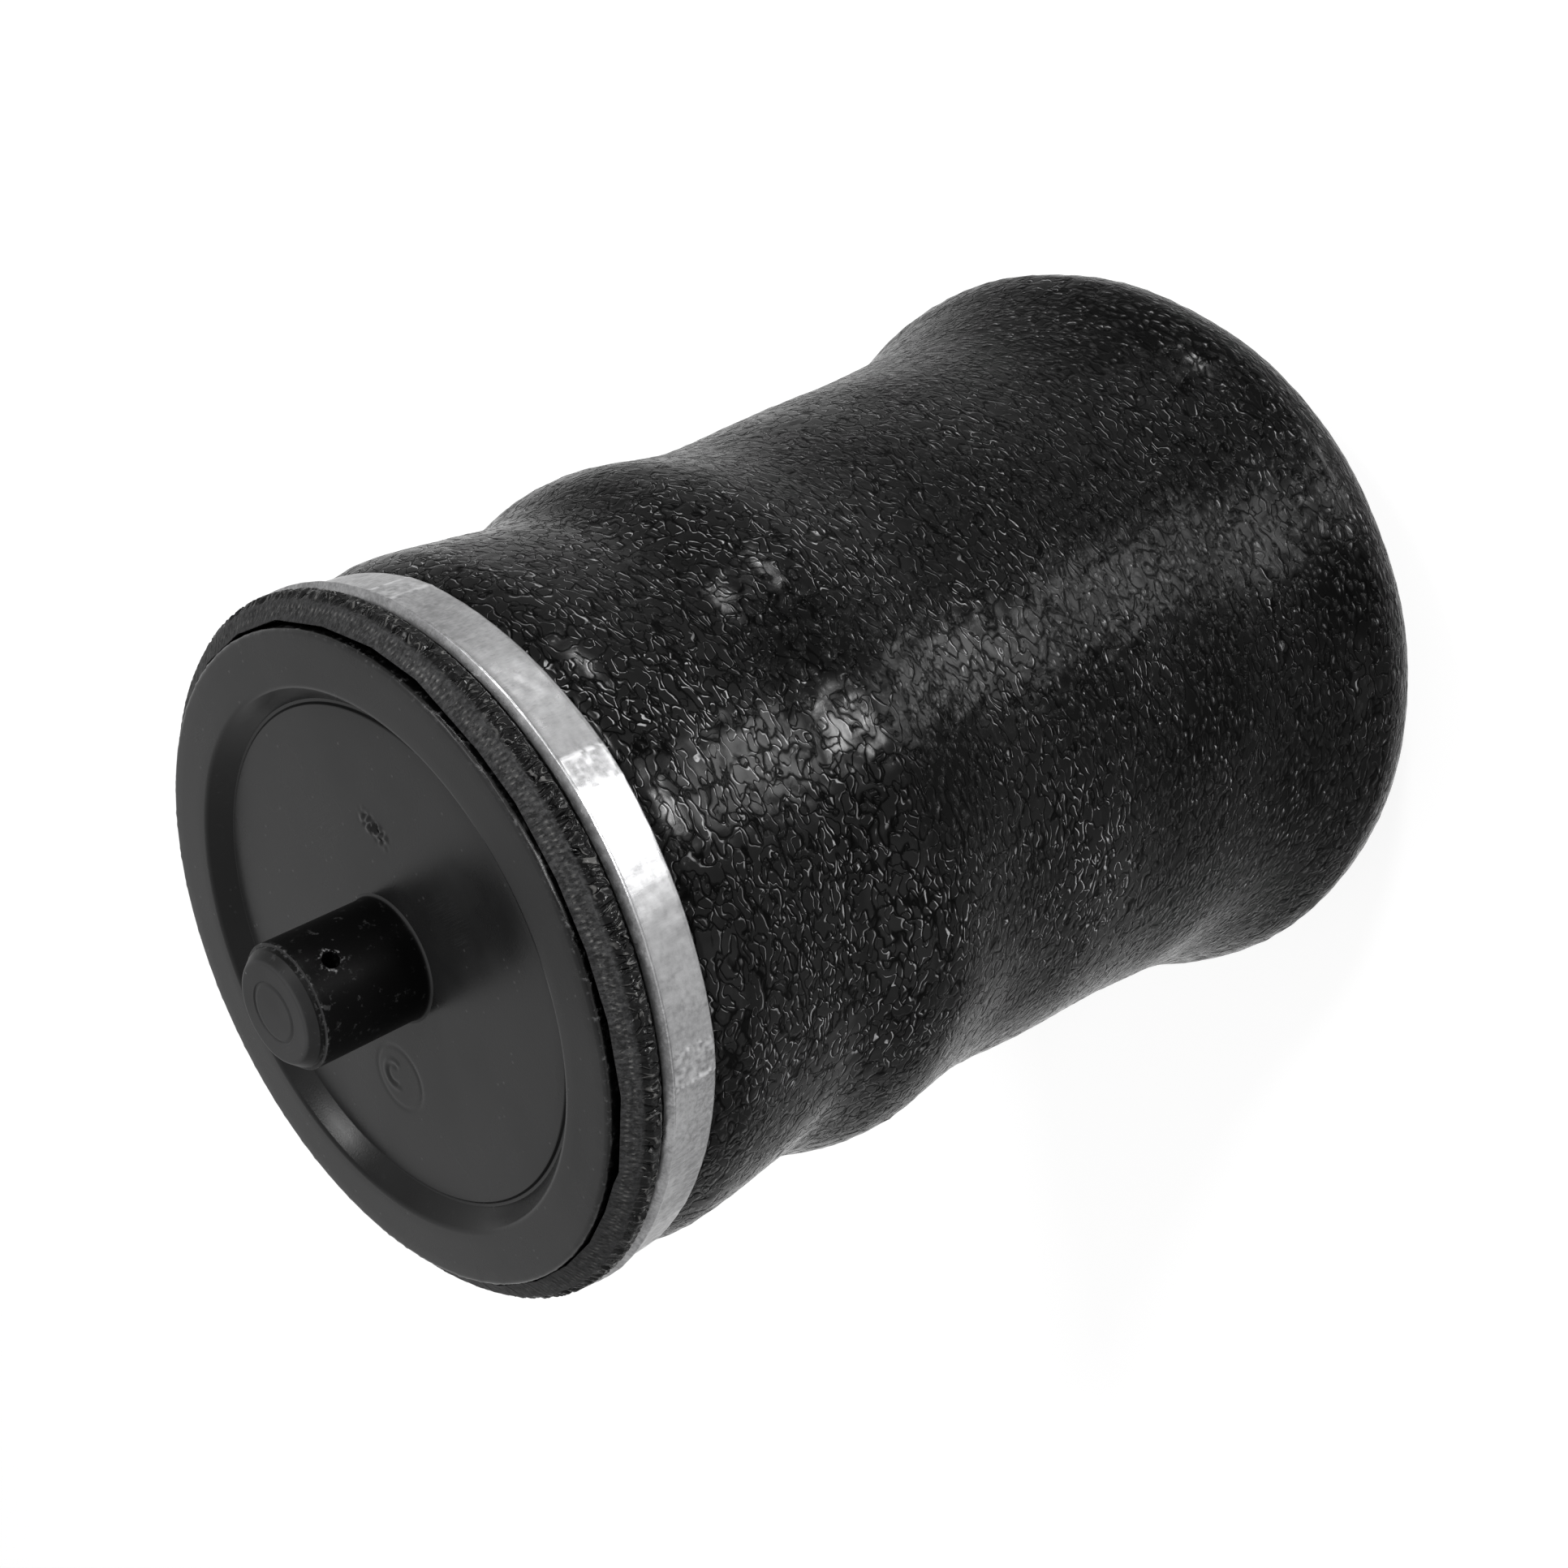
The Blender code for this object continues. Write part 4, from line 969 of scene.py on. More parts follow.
@dataclass
class EndPlate:
    """The moulded plate with its recess and its post. Sizes are in millimetres."""

    rim_radius: float = 50.0
    recess_radius: float = 41.4
    floor_radius: float = 38.4
    recess_depth: float = 2.8
    land_radius: float = 47.5
    depth: float = 19.0
    wall: float = 5.5
    floor_thickness: float = 5.2
    boss_radius: float = 13.0
    boss_depth: float = 23.0
    post_radius: float = 9.5
    post_height: float = 17.0
    lip_height: float = 14.8
    hole_radius: float = 1.3
    hole_height: float = 10.3
    hole_azimuth: float = math.radians(-70.1)
    gate_radius: float = 20.9
    gate_azimuth: float = math.radians(-34.3)
    ejector_radius: float = 20.6
    ejector_azimuth: float = math.radians(143.0)

    @property
    def rim(self) -> float:
        """The height of the rim's front face, in millimetres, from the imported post."""
        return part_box("end_plate")[1].z / MM - self.post_height

    def build(self) -> None:
        """Make the disc and the post."""
        disc = self.disc().build("plate_disc")
        settle(disc, PLATE_PLASTIC, Body.PLATE, "end_plate")
        settle(self.post(), POST_PLASTIC, Body.PLATE)

    def disc(self) -> Surface:
        """The plate's outline, turned, with its mould marks pressed into the recess floor.

        Returns:
            The surface, in metres.
        """
        rim, floor = self.rim, self.rim - self.recess_depth
        under, bottom = floor - self.floor_thickness, self.rim - self.depth
        skirt = self.land_radius - self.wall
        outline = rounded(
            [
                (0.0, self.rim - self.boss_depth),
                (self.boss_radius, self.rim - self.boss_depth, 0.8),
                (self.boss_radius + 1.0, under, 1.5),
                (skirt - 1.5, under, 1.5),
                (skirt, bottom, 0.8),
                (self.land_radius - 0.5, bottom, 1.0),
                (self.land_radius, rim - 7.6, 0.6),
                (self.rim_radius - 0.05, rim - 4.3, 0.7),
                (self.rim_radius, rim, 0.85),
                (self.recess_radius + 0.15, rim, 1.1),
                (self.floor_radius + 0.55, floor - 0.42, 0.2),
                (self.floor_radius + 0.1, floor - 0.42, 0.15),
                (self.floor_radius - 0.25, floor, 0.3),
                *((radius, floor) for radius in np.linspace(28.2, 12.4, 45)),
                (0.0, floor),
            ],
            5,
        )
        return self.marked(finer(outline, 2.0 * MM, closed=False))

    def marked(self, outline: np.ndarray) -> Surface:
        """Add the gate scar, the ejector's mark, the flash along the rim and its worn edge.

        Args:
            outline: Points as rows of radius and height, in metres.

        Returns:
            The surface, in metres.
        """
        angle = azimuths(440)
        radius, height = outline[:, :1] / MM, outline[:, 1:] / MM
        surface = turned(outline, angle.size, End.POLE)
        x, y = surface.points[..., 0] / MM, surface.points[..., 1] / MM
        on_floor = (np.abs(height - (self.rim - self.recess_depth)) < 0.05) * (radius < self.floor_radius)
        scar, cracks = self.gate_scar(x, y)
        mark, hook = self.ejector_mark(x, y)
        lift = on_floor * (scar + mark)
        edge = np.exp(-(((radius - self.rim_radius + 0.25) / 0.5) ** 2)) * (height > self.rim - 1.6)
        rough = ripple(angle, outline[:, 1] * 3, 26, 0.9 * MM, 5.0 * MM, self.rim_radius * MM, 5)
        flash = edge * np.clip(rough - 0.3, 0, 1.5) * 0.07
        surface.points[..., 2] += (lift + 0.4 * flash) * MM
        growth = 1 + flash / np.maximum(radius, 1.0)
        surface.points[..., :2] *= growth[..., None]
        flakes = on_floor * np.clip(3.5 * scar + 1.5 * mark - 0.1, 0, 0.6)
        surface.values["wear"] = np.clip(edge * (0.35 + 0.5 * rough) + flakes, 0, 1)
        # Painted shade: faces that turn to the side, the gate scar's cracks and the ejector's hook take the
        # dark tone.
        surface.values["unshaded"] = unshaded(outline, angle.size) * (1 - on_floor * np.clip(cracks + hook, 0, 1))
        return surface

    def gate_scar(self, x: np.ndarray, y: np.ndarray) -> tuple[np.ndarray, np.ndarray]:
        """The torn stub of the sprue: an oval of ridges and cracks, its long side across the radius.

        Args:
            x: Positions across the axis, in millimetres.
            y: The same, at right angles to x.

        Returns:
            The height in millimetres, and how far each point lies in a crack.
        """
        along, across = self.local(x, y, self.gate_radius, self.gate_azimuth, math.radians(-28))
        inside = np.exp(-((along / 2.9) ** 4 + (across / 1.25) ** 4))
        wave = np.cos(3.6 * across + 1.9 * np.sin(1.7 * along)) + 0.6 * np.cos(4.4 * along + 1.3 * across)
        return inside * (0.06 + 0.22 * wave), np.clip(1.3 * inside, 0, 1) * np.clip(-1.8 * wave, 0, 1)

    def ejector_mark(self, x: np.ndarray, y: np.ndarray) -> tuple[np.ndarray, np.ndarray]:
        """A shallow ring pressed by the ejector pin, with a small raised hook beside its middle.

        Args:
            x: Positions across the axis, in millimetres.
            y: The same, at right angles to x.

        Returns:
            The height in millimetres, and how far each point lies on the hook.
        """
        along, across = self.local(x, y, self.ejector_radius, self.ejector_azimuth, 0.0)
        from_middle = np.hypot(along, across)
        ring = -0.07 * np.exp(-(((from_middle - 5.2) / 0.3) ** 2))
        hook_distance = np.hypot(along + 1.2, across)
        bearing = np.arctan2(across, along + 1.2)
        open_side = np.clip((np.abs(bearing) - 0.9) / 0.3, 0, 1)
        hook = np.exp(-(((hook_distance - 1.5) / 0.3) ** 2)) * open_side
        burr = np.exp(-(((hook_distance - 2.3) / 0.35) ** 2)) * open_side
        return ring - 0.12 * hook + 0.12 * burr, hook

    def local(
        self, x: np.ndarray, y: np.ndarray, radius: float, azimuth: float, turn: float
    ) -> tuple[np.ndarray, np.ndarray]:
        """Distances from a mark's middle, along and across its own heading.

        Args:
            x: Positions across the axis, in millimetres.
            y: The same, at right angles to x.
            radius: The mark's distance from the axis, in millimetres.
            azimuth: The mark's azimuth in radians.
            turn: How far the mark is turned from the tangent, in radians.

        Returns:
            The two distances, in millimetres.
        """
        dx, dy = x - radius * math.cos(azimuth), y - radius * math.sin(azimuth)
        heading = azimuth + math.pi / 2 + turn
        cosine, sine = math.cos(heading), math.sin(heading)
        return dx * cosine + dy * sine, dy * cosine - dx * sine

    def post(self) -> bpy.types.Object:
        """The post, with its step ring, its rounded tip, the pin's witness ring and the cross hole.

        Returns:
            The post.
        """
        rim, floor = self.rim, self.rim - self.recess_depth
        outline = rounded(
            [
                (0.0, floor - 2.0),
                (self.post_radius + 1.3, floor - 2.0),
                (self.post_radius + 1.3, floor - 0.02),
                (self.post_radius, floor, 1.3),
                (self.post_radius, rim + self.lip_height, 0.12),
                (self.post_radius - 0.45, rim + self.lip_height + 0.03, 0.1),
                (self.post_radius - 0.7, rim + self.lip_height + 0.7, 0.5),
                (self.post_radius - 1.9, rim + self.post_height, 0.9),
                (4.75, rim + self.post_height),
                (4.6, rim + self.post_height - 0.14),
                (4.35, rim + self.post_height - 0.14),
                (4.2, rim + self.post_height - 0.02),
                (0.0, rim + self.post_height - 0.02),
            ],
            6,
        )
        fine = finer(outline, 0.4 * MM, closed=False)
        surface = turned(fine, 192, End.POLE)
        height = fine[:, 1] / MM - rim
        lip = np.exp(-(((height - self.lip_height) / 0.35) ** 2))
        around = (azimuths(192) - self.hole_azimuth + math.pi) % TAU - math.pi
        from_hole = np.hypot(around[None, :] * self.post_radius, height[:, None] - self.hole_height)
        burr = np.exp(-(((from_hole - self.hole_radius - 0.35) / 0.3) ** 2))
        surface.values["wear"] = np.clip(0.3 * lip[:, None] + 0.75 * burr, 0, 1)
        # Painted shade on the post's sides comes from this share.
        surface.values["unshaded"] = unshaded(fine, 192)
        post = surface.build("plate_post")
        drill_hole(post, self.hole_radius, rim + self.hole_height, self.hole_azimuth, 3 * self.post_radius)
        return post


def drill_hole(piece: bpy.types.Object, radius: float, height: float, azimuth: float, length: float) -> None:
    """Cut a level round hole through a piece.

    Args:
        piece: The piece to cut.
        radius: The hole's radius, in millimetres.
        height: The height of its middle, in millimetres.
        azimuth: The direction that it runs in, in radians.
        length: The length of the cutter, in millimetres.
    """
    outline = np.array([(0.0, -length / 2), (radius, -length / 2), (radius, length / 2), (0.0, length / 2)])
    cutter = turned(outline * MM, 40, End.POLE).build("pin_hole_cutter")
    place = Matrix.Translation((0, 0, height * MM)) @ Matrix.Rotation(azimuth, 4, "Z")
    cutter.data.transform(place @ Matrix.Rotation(math.pi / 2, 4, "Y"))
    step = piece.modifiers.new("pin_hole", "BOOLEAN")
    step.operation, step.solver, step.object = "DIFFERENCE", "EXACT", cutter
    bpy.context.view_layer.update()
    graph = bpy.context.evaluated_depsgraph_get()
    shape = bpy.data.meshes.new_from_object(piece.evaluated_get(graph))
    piece.modifiers.remove(step)
    piece.data = shape
    bpy.data.objects.remove(cutter)
    shape.set_sharp_from_angle(angle=math.radians(40))


@dataclass
class CrimpRing:
    """A swaged ring with a raised front lip and the marks of its crimping jaws, in millimetres."""

    node: str
    body: Body
    inner: float
    jaws: int = 8
    ridge_azimuth: float = math.radians(-78.2)
    ridge_half: float = math.radians(2.75)
    steps: int = 1080
    wall: float = 2.3
    jaw_flat: float = 0.36
    lip: float = 0.65

    def build(self) -> None:
        """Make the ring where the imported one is."""
        low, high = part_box(self.node)
        bottom, top = low.z / MM, high.z / MM
        outer = self.inner + self.wall
        outline = rounded(
            [
                (self.inner, bottom, 0.25),
                (outer - 0.35, bottom, 0.5),
                (outer - 0.12, bottom + 0.9, 0.5),
                (outer - 0.10, top - 1.55, 0.3),
                (outer + self.lip, top - 1.15, 0.3),
                (outer + self.lip, top - 0.75, 0.25),
                (outer - 0.6, top, 0.3),
                (self.inner, top, 0.25),
            ],
            4,
        )
        fine = finer(outline, 0.45 * MM)
        surface = turned(fine, self.steps, radii=self.radii(fine))
        surface.values["facet_sheen"] = self.facet_sheen(fine)
        settle(surface.build(f"{self.node}_metal"), RING_ALUMINIUM, self.body, self.node)

    def facet_sheen(self, outline: np.ndarray) -> np.ndarray:
        """Painted facet reflections: lighter lines at the ridges' sides and bands on the ridges, and each
        land in its own shade.

        Args:
            outline: Points as rows of radius and height, in metres.

        Returns:
            A number from 0 to 1 for each point and azimuth.
        """
        angle = azimuths(self.steps)
        pitch = TAU / self.jaws
        turn = angle - self.ridge_azimuth + pitch / 2
        from_ridge = np.abs(turn % pitch - pitch / 2)
        land = (turn // pitch + (turn % pitch > pitch / 2)) % self.jaws
        uneven = ripple(angle, outline[:, 1], 40, 0.8 * MM, 4.0 * MM, self.inner * MM, 17)
        line = np.exp(-(((from_ridge - self.ridge_half) / math.radians(0.32)) ** 2))
        side = line * np.clip(0.4 + uneven, 0, 1)
        band = (from_ridge < self.ridge_half) * (0.2 + 0.2 * uneven)
        shade = (from_ridge > self.ridge_half) * (0.10 + 0.10 * np.sin(2.3 * land + 0.6) + 0.05 * uneven)
        face = (outline[:, :1] > (self.inner + 1.4) * MM) * (outline[:, 1:] < outline[:, 1:].max() - 1.3 * MM)
        return face * np.clip(shade + band + 0.7 * side, 0, 1)

    def radii(self, outline: np.ndarray) -> np.ndarray:
        """The outer face sinks between the jaws' ridges and is a little flat across each land.

        Args:
            outline: Points as rows of radius and height, in metres.

        Returns:
            A radius for each point and azimuth, in metres.
        """
        angle = azimuths(self.steps)
        pitch = TAU / self.jaws
        from_ridge = np.abs((angle - self.ridge_azimuth + pitch / 2) % pitch - pitch / 2)
        land = np.clip((from_ridge - self.ridge_half) / math.radians(0.35), 0, 1)
        across = np.clip((from_ridge - self.ridge_half) / (pitch / 2 - self.ridge_half), 0, 1)
        sunk = land * (0.07 + self.jaw_flat * (1 - (1 - across) ** 2))
        ridge_flat = (1 - land) * 0.05 * (1 - (from_ridge / self.ridge_half) ** 2)
        dents = ripple(angle, outline[:, 1], 30, 2.5 * MM, 16 * MM, self.inner * MM, 11) * 0.018
        outside = np.clip((outline[:, :1] / MM - self.inner - 0.5) / 0.8, 0, 1)
        below_lip = np.clip((outline[:, 1:].max() - outline[:, 1:]) / MM - 1.0, 0.25, 1)
        change = outside * (dents - below_lip * (sunk + ridge_flat)[None, :])
        return outline[:, :1] + change * MM


@dataclass
class Sleeve:
    """The rubber sleeve: its cut end, its outer leg and its inner leg, in millimetres.

    The legs meet on the lobe's lowest circle, which moves by half of the stroke, and stretch from
    there to the plate or to the piston.
    """

    rim: float
    wall: float = 3.0
    land: float = 48.3
    columns: int = 460
    crest: float = 26.0
    lobe_radius: float = 65.1
    lobe_bottom: float = 10.5
    piston_gap_radius: float = 38.3
    pattern_radius: float = 56.0
    edge_radius: float = 51.15
    cord_spacing: float = 0.87
    cord_rows: tuple[float, float] = (51.95, 52.6)
    neck: tuple[tuple[float, float], ...] = ((14.6, 51.35), (15.9, 51.4), (16.4, 52.2), (17.4, 52.9))
    edge_kinks: tuple[tuple[float, float], ...] = (
        (-178.0, 50.3), (-167.1, 50.3), (-157.0, 50.6), (-147.9, 50.7), (-141.0, 50.9),
        (-138.0, 51.5), (-124.1, 51.6), (-112.0, 51.3), (-101.0, 51.0), (-90.0, 50.9),
        (-77.6, 51.1), (-67.9, 50.9), (-52.9, 51.5), (-42.4, 51.3), (-30.0, 50.9),
        (-17.0, 51.0), (-4.0, 50.6), (9.0, 50.5), (21.0, 50.4), (34.0, 50.4),
        (46.0, 50.6), (60.0, 50.5), (73.0, 50.8), (85.0, 50.5), (98.0, 50.9),
        (111.0, 50.6), (122.0, 50.8), (135.0, 50.5), (147.0, 50.6), (159.0, 50.4),
        (170.0, 50.5),
    )
    stations: tuple[tuple[float, float], ...] = (
        (19.5, 53.6), (22.5, 54.2), (26.0, 54.2), (32.0, 53.8), (40.0, 53.1),
        (45.5, 52.75), (50.0, 53.7), (56.0, 55.8), (60.0, 56.5), (64.0, 56.6),
        (72.0, 55.55), (80.0, 54.8), (88.0, 55.05), (96.0, 55.85), (104.0, 56.3),
        (120.0, 57.1), (136.0, 58.55), (143.5, 59.95), (151.5, 62.2), (156.0, 64.0),
    )

    def build(self) -> None:
        """Make the three pieces of the sleeve."""
        self.mouth()
        self.outer_leg()
        self.inner_leg()

    def outer_path(self) -> np.ndarray:
        """The cover side of the outer leg, from under the ring down to the lobe's lowest circle.

        Returns:
            Points as rows of radius and height, in metres.
        """
        points = [(radius, self.rim - depth) for depth, radius in self.neck + self.stations]
        leg = flowing(points + [(self.lobe_radius, self.crest)], 900)
        return evenly(np.vstack([leg, self.lobe_quarter(0.0)[1:]]), 190)

    def lobe_quarter(self, start: float) -> np.ndarray:
        """A quarter of the lobe's ellipse, from this angle: 0 is the crest, a right angle the bottom.

        Args:
            start: The angle of the quarter's first point, in radians.

        Returns:
            Points as rows of radius and height, in metres.
        """
        middle = 0.5 * (self.lobe_radius + self.piston_gap_radius)
        half = 0.5 * (self.lobe_radius - self.piston_gap_radius)
        turn = start + np.linspace(0, math.pi / 2, 200)
        radius = middle + half * np.cos(turn)
        height = self.crest - (self.crest - self.lobe_bottom) * np.sin(turn)
        return np.stack([radius, height], axis=1) * MM

    def inner_path(self) -> np.ndarray:
        """The cover side of the inner leg, from the lobe's bottom up to the closure's neck.

        Returns:
            Points as rows of radius and height, in metres.
        """
        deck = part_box("piston")[1].z / MM
        lower_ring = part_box("lower_crimp_ring")
        ring_bottom, ring_top = lower_ring[0].z / MM, lower_ring[1].z / MM
        stations = [
            (self.piston_gap_radius, self.crest),
            (self.piston_gap_radius, 0.5 * (self.crest + deck)),
            (self.piston_gap_radius, deck - 10.0),
            (33.6, deck),
            (33.5, deck + 2.0),
            (31.3, ring_bottom),
            (31.3, ring_top - 0.8),
            (32.9, ring_top + 1.6),
            (32.9, ring_top + 2.4),
        ]
        leg = flowing(stations, 400)
        return evenly(np.vstack([self.lobe_quarter(math.pi / 2), leg[1:]]), 96)

    def shell(self, cover: np.ndarray, start: float, seed: int, swell: float) -> Surface:
        """A tube of rubber: the cover with its unevenness, and the liner a wall's thickness inside.

        Args:
            cover: The cover's path, with the rubber on its right as it is followed.
            start: The distance along the whole sleeve at which the path starts, in metres.
            seed: The seed of the unevenness.
            swell: The height of the unevenness, in millimetres.

        Returns:
            The surface, with the coordinates that the wrinkle follows.
        """
        angle = azimuths(self.columns)
        along = arc_length(cover) + start
        outward = side_normals(cover)
        back = evenly(cover, 20)[::-1]
        liner = back + side_normals(back) * self.wall * MM
        outline = np.vstack([cover, liner])
        fade = np.clip(np.minimum(along - along[0], along[-1] - along) / (4 * MM), 0, 1)[:, None]
        slow = ripple(angle, along, 24, 14 * MM, 60 * MM, self.pattern_radius * MM, seed)
        quick = ripple(angle, along, 40, 2.2 * MM, 5.0 * MM, self.pattern_radius * MM, seed + 1)
        shift = fade * (swell * slow + 0.035 * quick) * MM
        surface = turned(outline, self.columns)
        surface.points[: len(cover), :, 0] += shift * outward[:, :1] * np.cos(angle)
        surface.points[: len(cover), :, 1] += shift * outward[:, :1] * np.sin(angle)
        surface.points[: len(cover), :, 2] += shift * outward[:, 1:]
        rows = np.concatenate([along, np.full(len(liner), along[-1])])
        surface.values["cover"] = self.pattern(angle, rows)
        surface.values["pebble"] = self.pebbles(angle, rows)
        return surface

    def pattern(self, angle: np.ndarray, along: np.ndarray) -> np.ndarray:
        """Coordinates on a plain cylinder, so that the wrinkle keeps its size all over the sleeve.

        Args:
            angle: Azimuths in radians.
            along: Distances along the cover, or heights, in metres.

        Returns:
            Three coordinates for each point.
        """
        ring = self.pattern_radius * MM
        shape = np.ones((along.size, angle.size))
        x, y = ring * np.cos(angle) * shape, ring * np.sin(angle) * shape
        return np.stack([x, y, along[:, None] * shape], axis=-1)

    def pebbles(self, angle: np.ndarray, along: np.ndarray) -> np.ndarray:
        """How far the cells are rounded to pebbles: more towards the lobe, in slow patches.

        Args:
            angle: Azimuths in radians.
            along: Distances along the cover, or heights, in metres.

        Returns:
            A number from 0 to 1 for each point.
        """
        patch = ripple(angle, along, 14, 25 * MM, 90 * MM, self.pattern_radius * MM, 31)
        trend = np.clip((along - 30 * MM) / (110 * MM), 0, 1)[:, None]
        return np.clip(0.12 + 0.55 * trend + 0.22 * patch, 0, 0.85)

    def outer_leg(self) -> None:
        """The leg from the upper ring to the lobe's lowest circle."""
        leg = self.shell(self.outer_path(), 0.0, 41, 0.10).build("sleeve_leg")
        COVER_RUBBER.dress(leg)
        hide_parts("sleeve")
        self.roll(leg, (self.rim - 16.0) * MM, Body.PLATE)

    def inner_leg(self) -> None:
        """The leg from the lobe's lowest circle up the piston to the lower ring."""
        start = arc_length(self.outer_path())[-1]
        leg = self.shell(self.inner_path(), start, 43, 0.0).build("sleeve_inner_leg")
        COVER_RUBBER.dress(leg)
        self.roll(leg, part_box("piston")[1].z, Body.PISTON)

    def roll(self, leg: bpy.types.Object, clamp: float, holder: Body) -> None:
        """Bake the leg's placement into its mesh; it is not made to follow the stroke or either body.

        Args:
            leg: The leg.
            clamp: Not used; the height of the leg's clamp, in metres.
            holder: Not used; the body that clamps it.
        """
        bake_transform(leg)
        log.info("%s blends between the piston and the plate", leg.name)

    def mouth(self) -> None:
        """The end of the sleeve in front of the ring: bulged skin, cut face, cord ends, inner edge."""
        rim = self.rim
        outline = rounded(
            [
                (self.land + 0.1, rim - 12.0),
                (51.2, rim - 12.0),
                (51.25, rim - 6.6, 0.4),
                (53.2, rim - 6.6, 0.7),
                (54.3, rim - 5.6, 0.7),
                (54.25, rim - 4.2, 0.8),
                *((53.2 - 0.17 * step, rim - 2.98 + 0.168 * step) for step in range(12)),
                (self.edge_radius, rim - 0.95, 0.35),
                (50.45, rim - 4.7, 0.8),
                (self.land + 0.1, rim - 7.4, 0.8),
            ],
            4,
        )
        fine = finer(outline, 1.1 * MM)
        angle = azimuths(1520)
        surface = turned(fine, angle.size)
        radius, depth = fine[:, :1] / MM, rim - fine[:, 1:] / MM
        front = np.clip((6.0 - depth) / 4.0, 0, 1)
        across = (radius - self.edge_radius) / 2.05
        on_face = (radius > 51.0) & (radius < 53.3)
        cut = np.clip(1 - np.abs(depth - (0.95 + 2.03 * across)) / 0.4, 0, 1) * on_face
        cords = self.cord_ends(angle, radius)
        pinch = ripple(angle, 0.5 * fine[:, 1], 60, 1.2 * MM, 3.2 * MM, 54 * MM, 61)
        bulge = np.clip((depth - 2.9) / 0.6, 0, 1) * np.clip((radius - 52.4) / 0.6, 0, 1) * (1 - cut)
        lift = cut * cords * 0.14 - bulge * np.abs(pinch) * 0.22 + cut * 0.03 * pinch
        scallop = self.scallops(angle)[None, :] * front * np.clip((53.0 - radius) / 1.9, 0, 1)
        surface.points[..., 2] += lift * (0.7 * cut + 0.4 * bulge) * MM
        grow = (lift * (0.4 * cut + bulge) + scallop) / radius
        surface.points[..., :2] *= 1 + grow[..., None]
        surface.values["cord"] = cords * cut
        surface.values["cut"] = np.repeat(cut, angle.size, axis=1)
        surface.values["cover"] = self.pattern(angle, fine[:, 1])
        settle(surface.build("sleeve_mouth"), CUT_RUBBER, Body.PLATE)

    def cord_ends(self, angle: np.ndarray, radius: np.ndarray) -> np.ndarray:
        """Two rows of cord ends, 0.87 mm apart, the rows half a step out of line.

        Args:
            angle: Azimuths in radians.
            radius: Distances from the axis, in millimetres.

        Returns:
            One on a cord's end, nothing off it.
        """
        count = round(TAU * 52.5 / self.cord_spacing)
        total = 0.0
        for row, middle in enumerate(self.cord_rows):
            wander = 0.08 * np.sin(9 * angle + 2 * row) + 0.06 * np.sin(31 * angle + row)
            beat = 0.5 + 0.5 * np.cos(count * angle + math.pi * row + 0.9 * np.sin(17 * angle))
            strength = 0.7 + 0.3 * np.sin(23 * angle + 4 * np.sin(5 * angle) + 2 * row)
            spot = np.exp(-(((radius - middle - wander[None, :]) / 0.18) ** 2))
            total = total + (beat**4 * strength)[None, :] * spot
        return np.clip(total, 0, 1)

    def scallops(self, angle: np.ndarray) -> np.ndarray:
        """How far the inner edge departs from its circle: straight runs between kinks.

        On a straight run from (r1, a1) to (r2, a2), 1/r is the mean of 1/r1 and 1/r2 weighted by
        the sines of the angles to the other end.

        Args:
            angle: Azimuths in radians.

        Returns:
            The departures in millimetres.
        """
        kinks = np.array(self.edge_kinks)
        turn = np.radians(np.append(kinks[:, 0], kinks[0, 0] + 360))
        radii = np.append(kinks[:, 1], kinks[0, 1])
        wrapped = (angle - turn[0]) % TAU + turn[0]
        run = np.clip(np.searchsorted(turn, wrapped, side="right") - 1, 0, len(turn) - 2)
        first, second = turn[run], turn[run + 1]
        inverse = np.sin(second - wrapped) / radii[run] + np.sin(wrapped - first) / radii[run + 1]
        return np.sin(second - first) / inverse - self.edge_radius


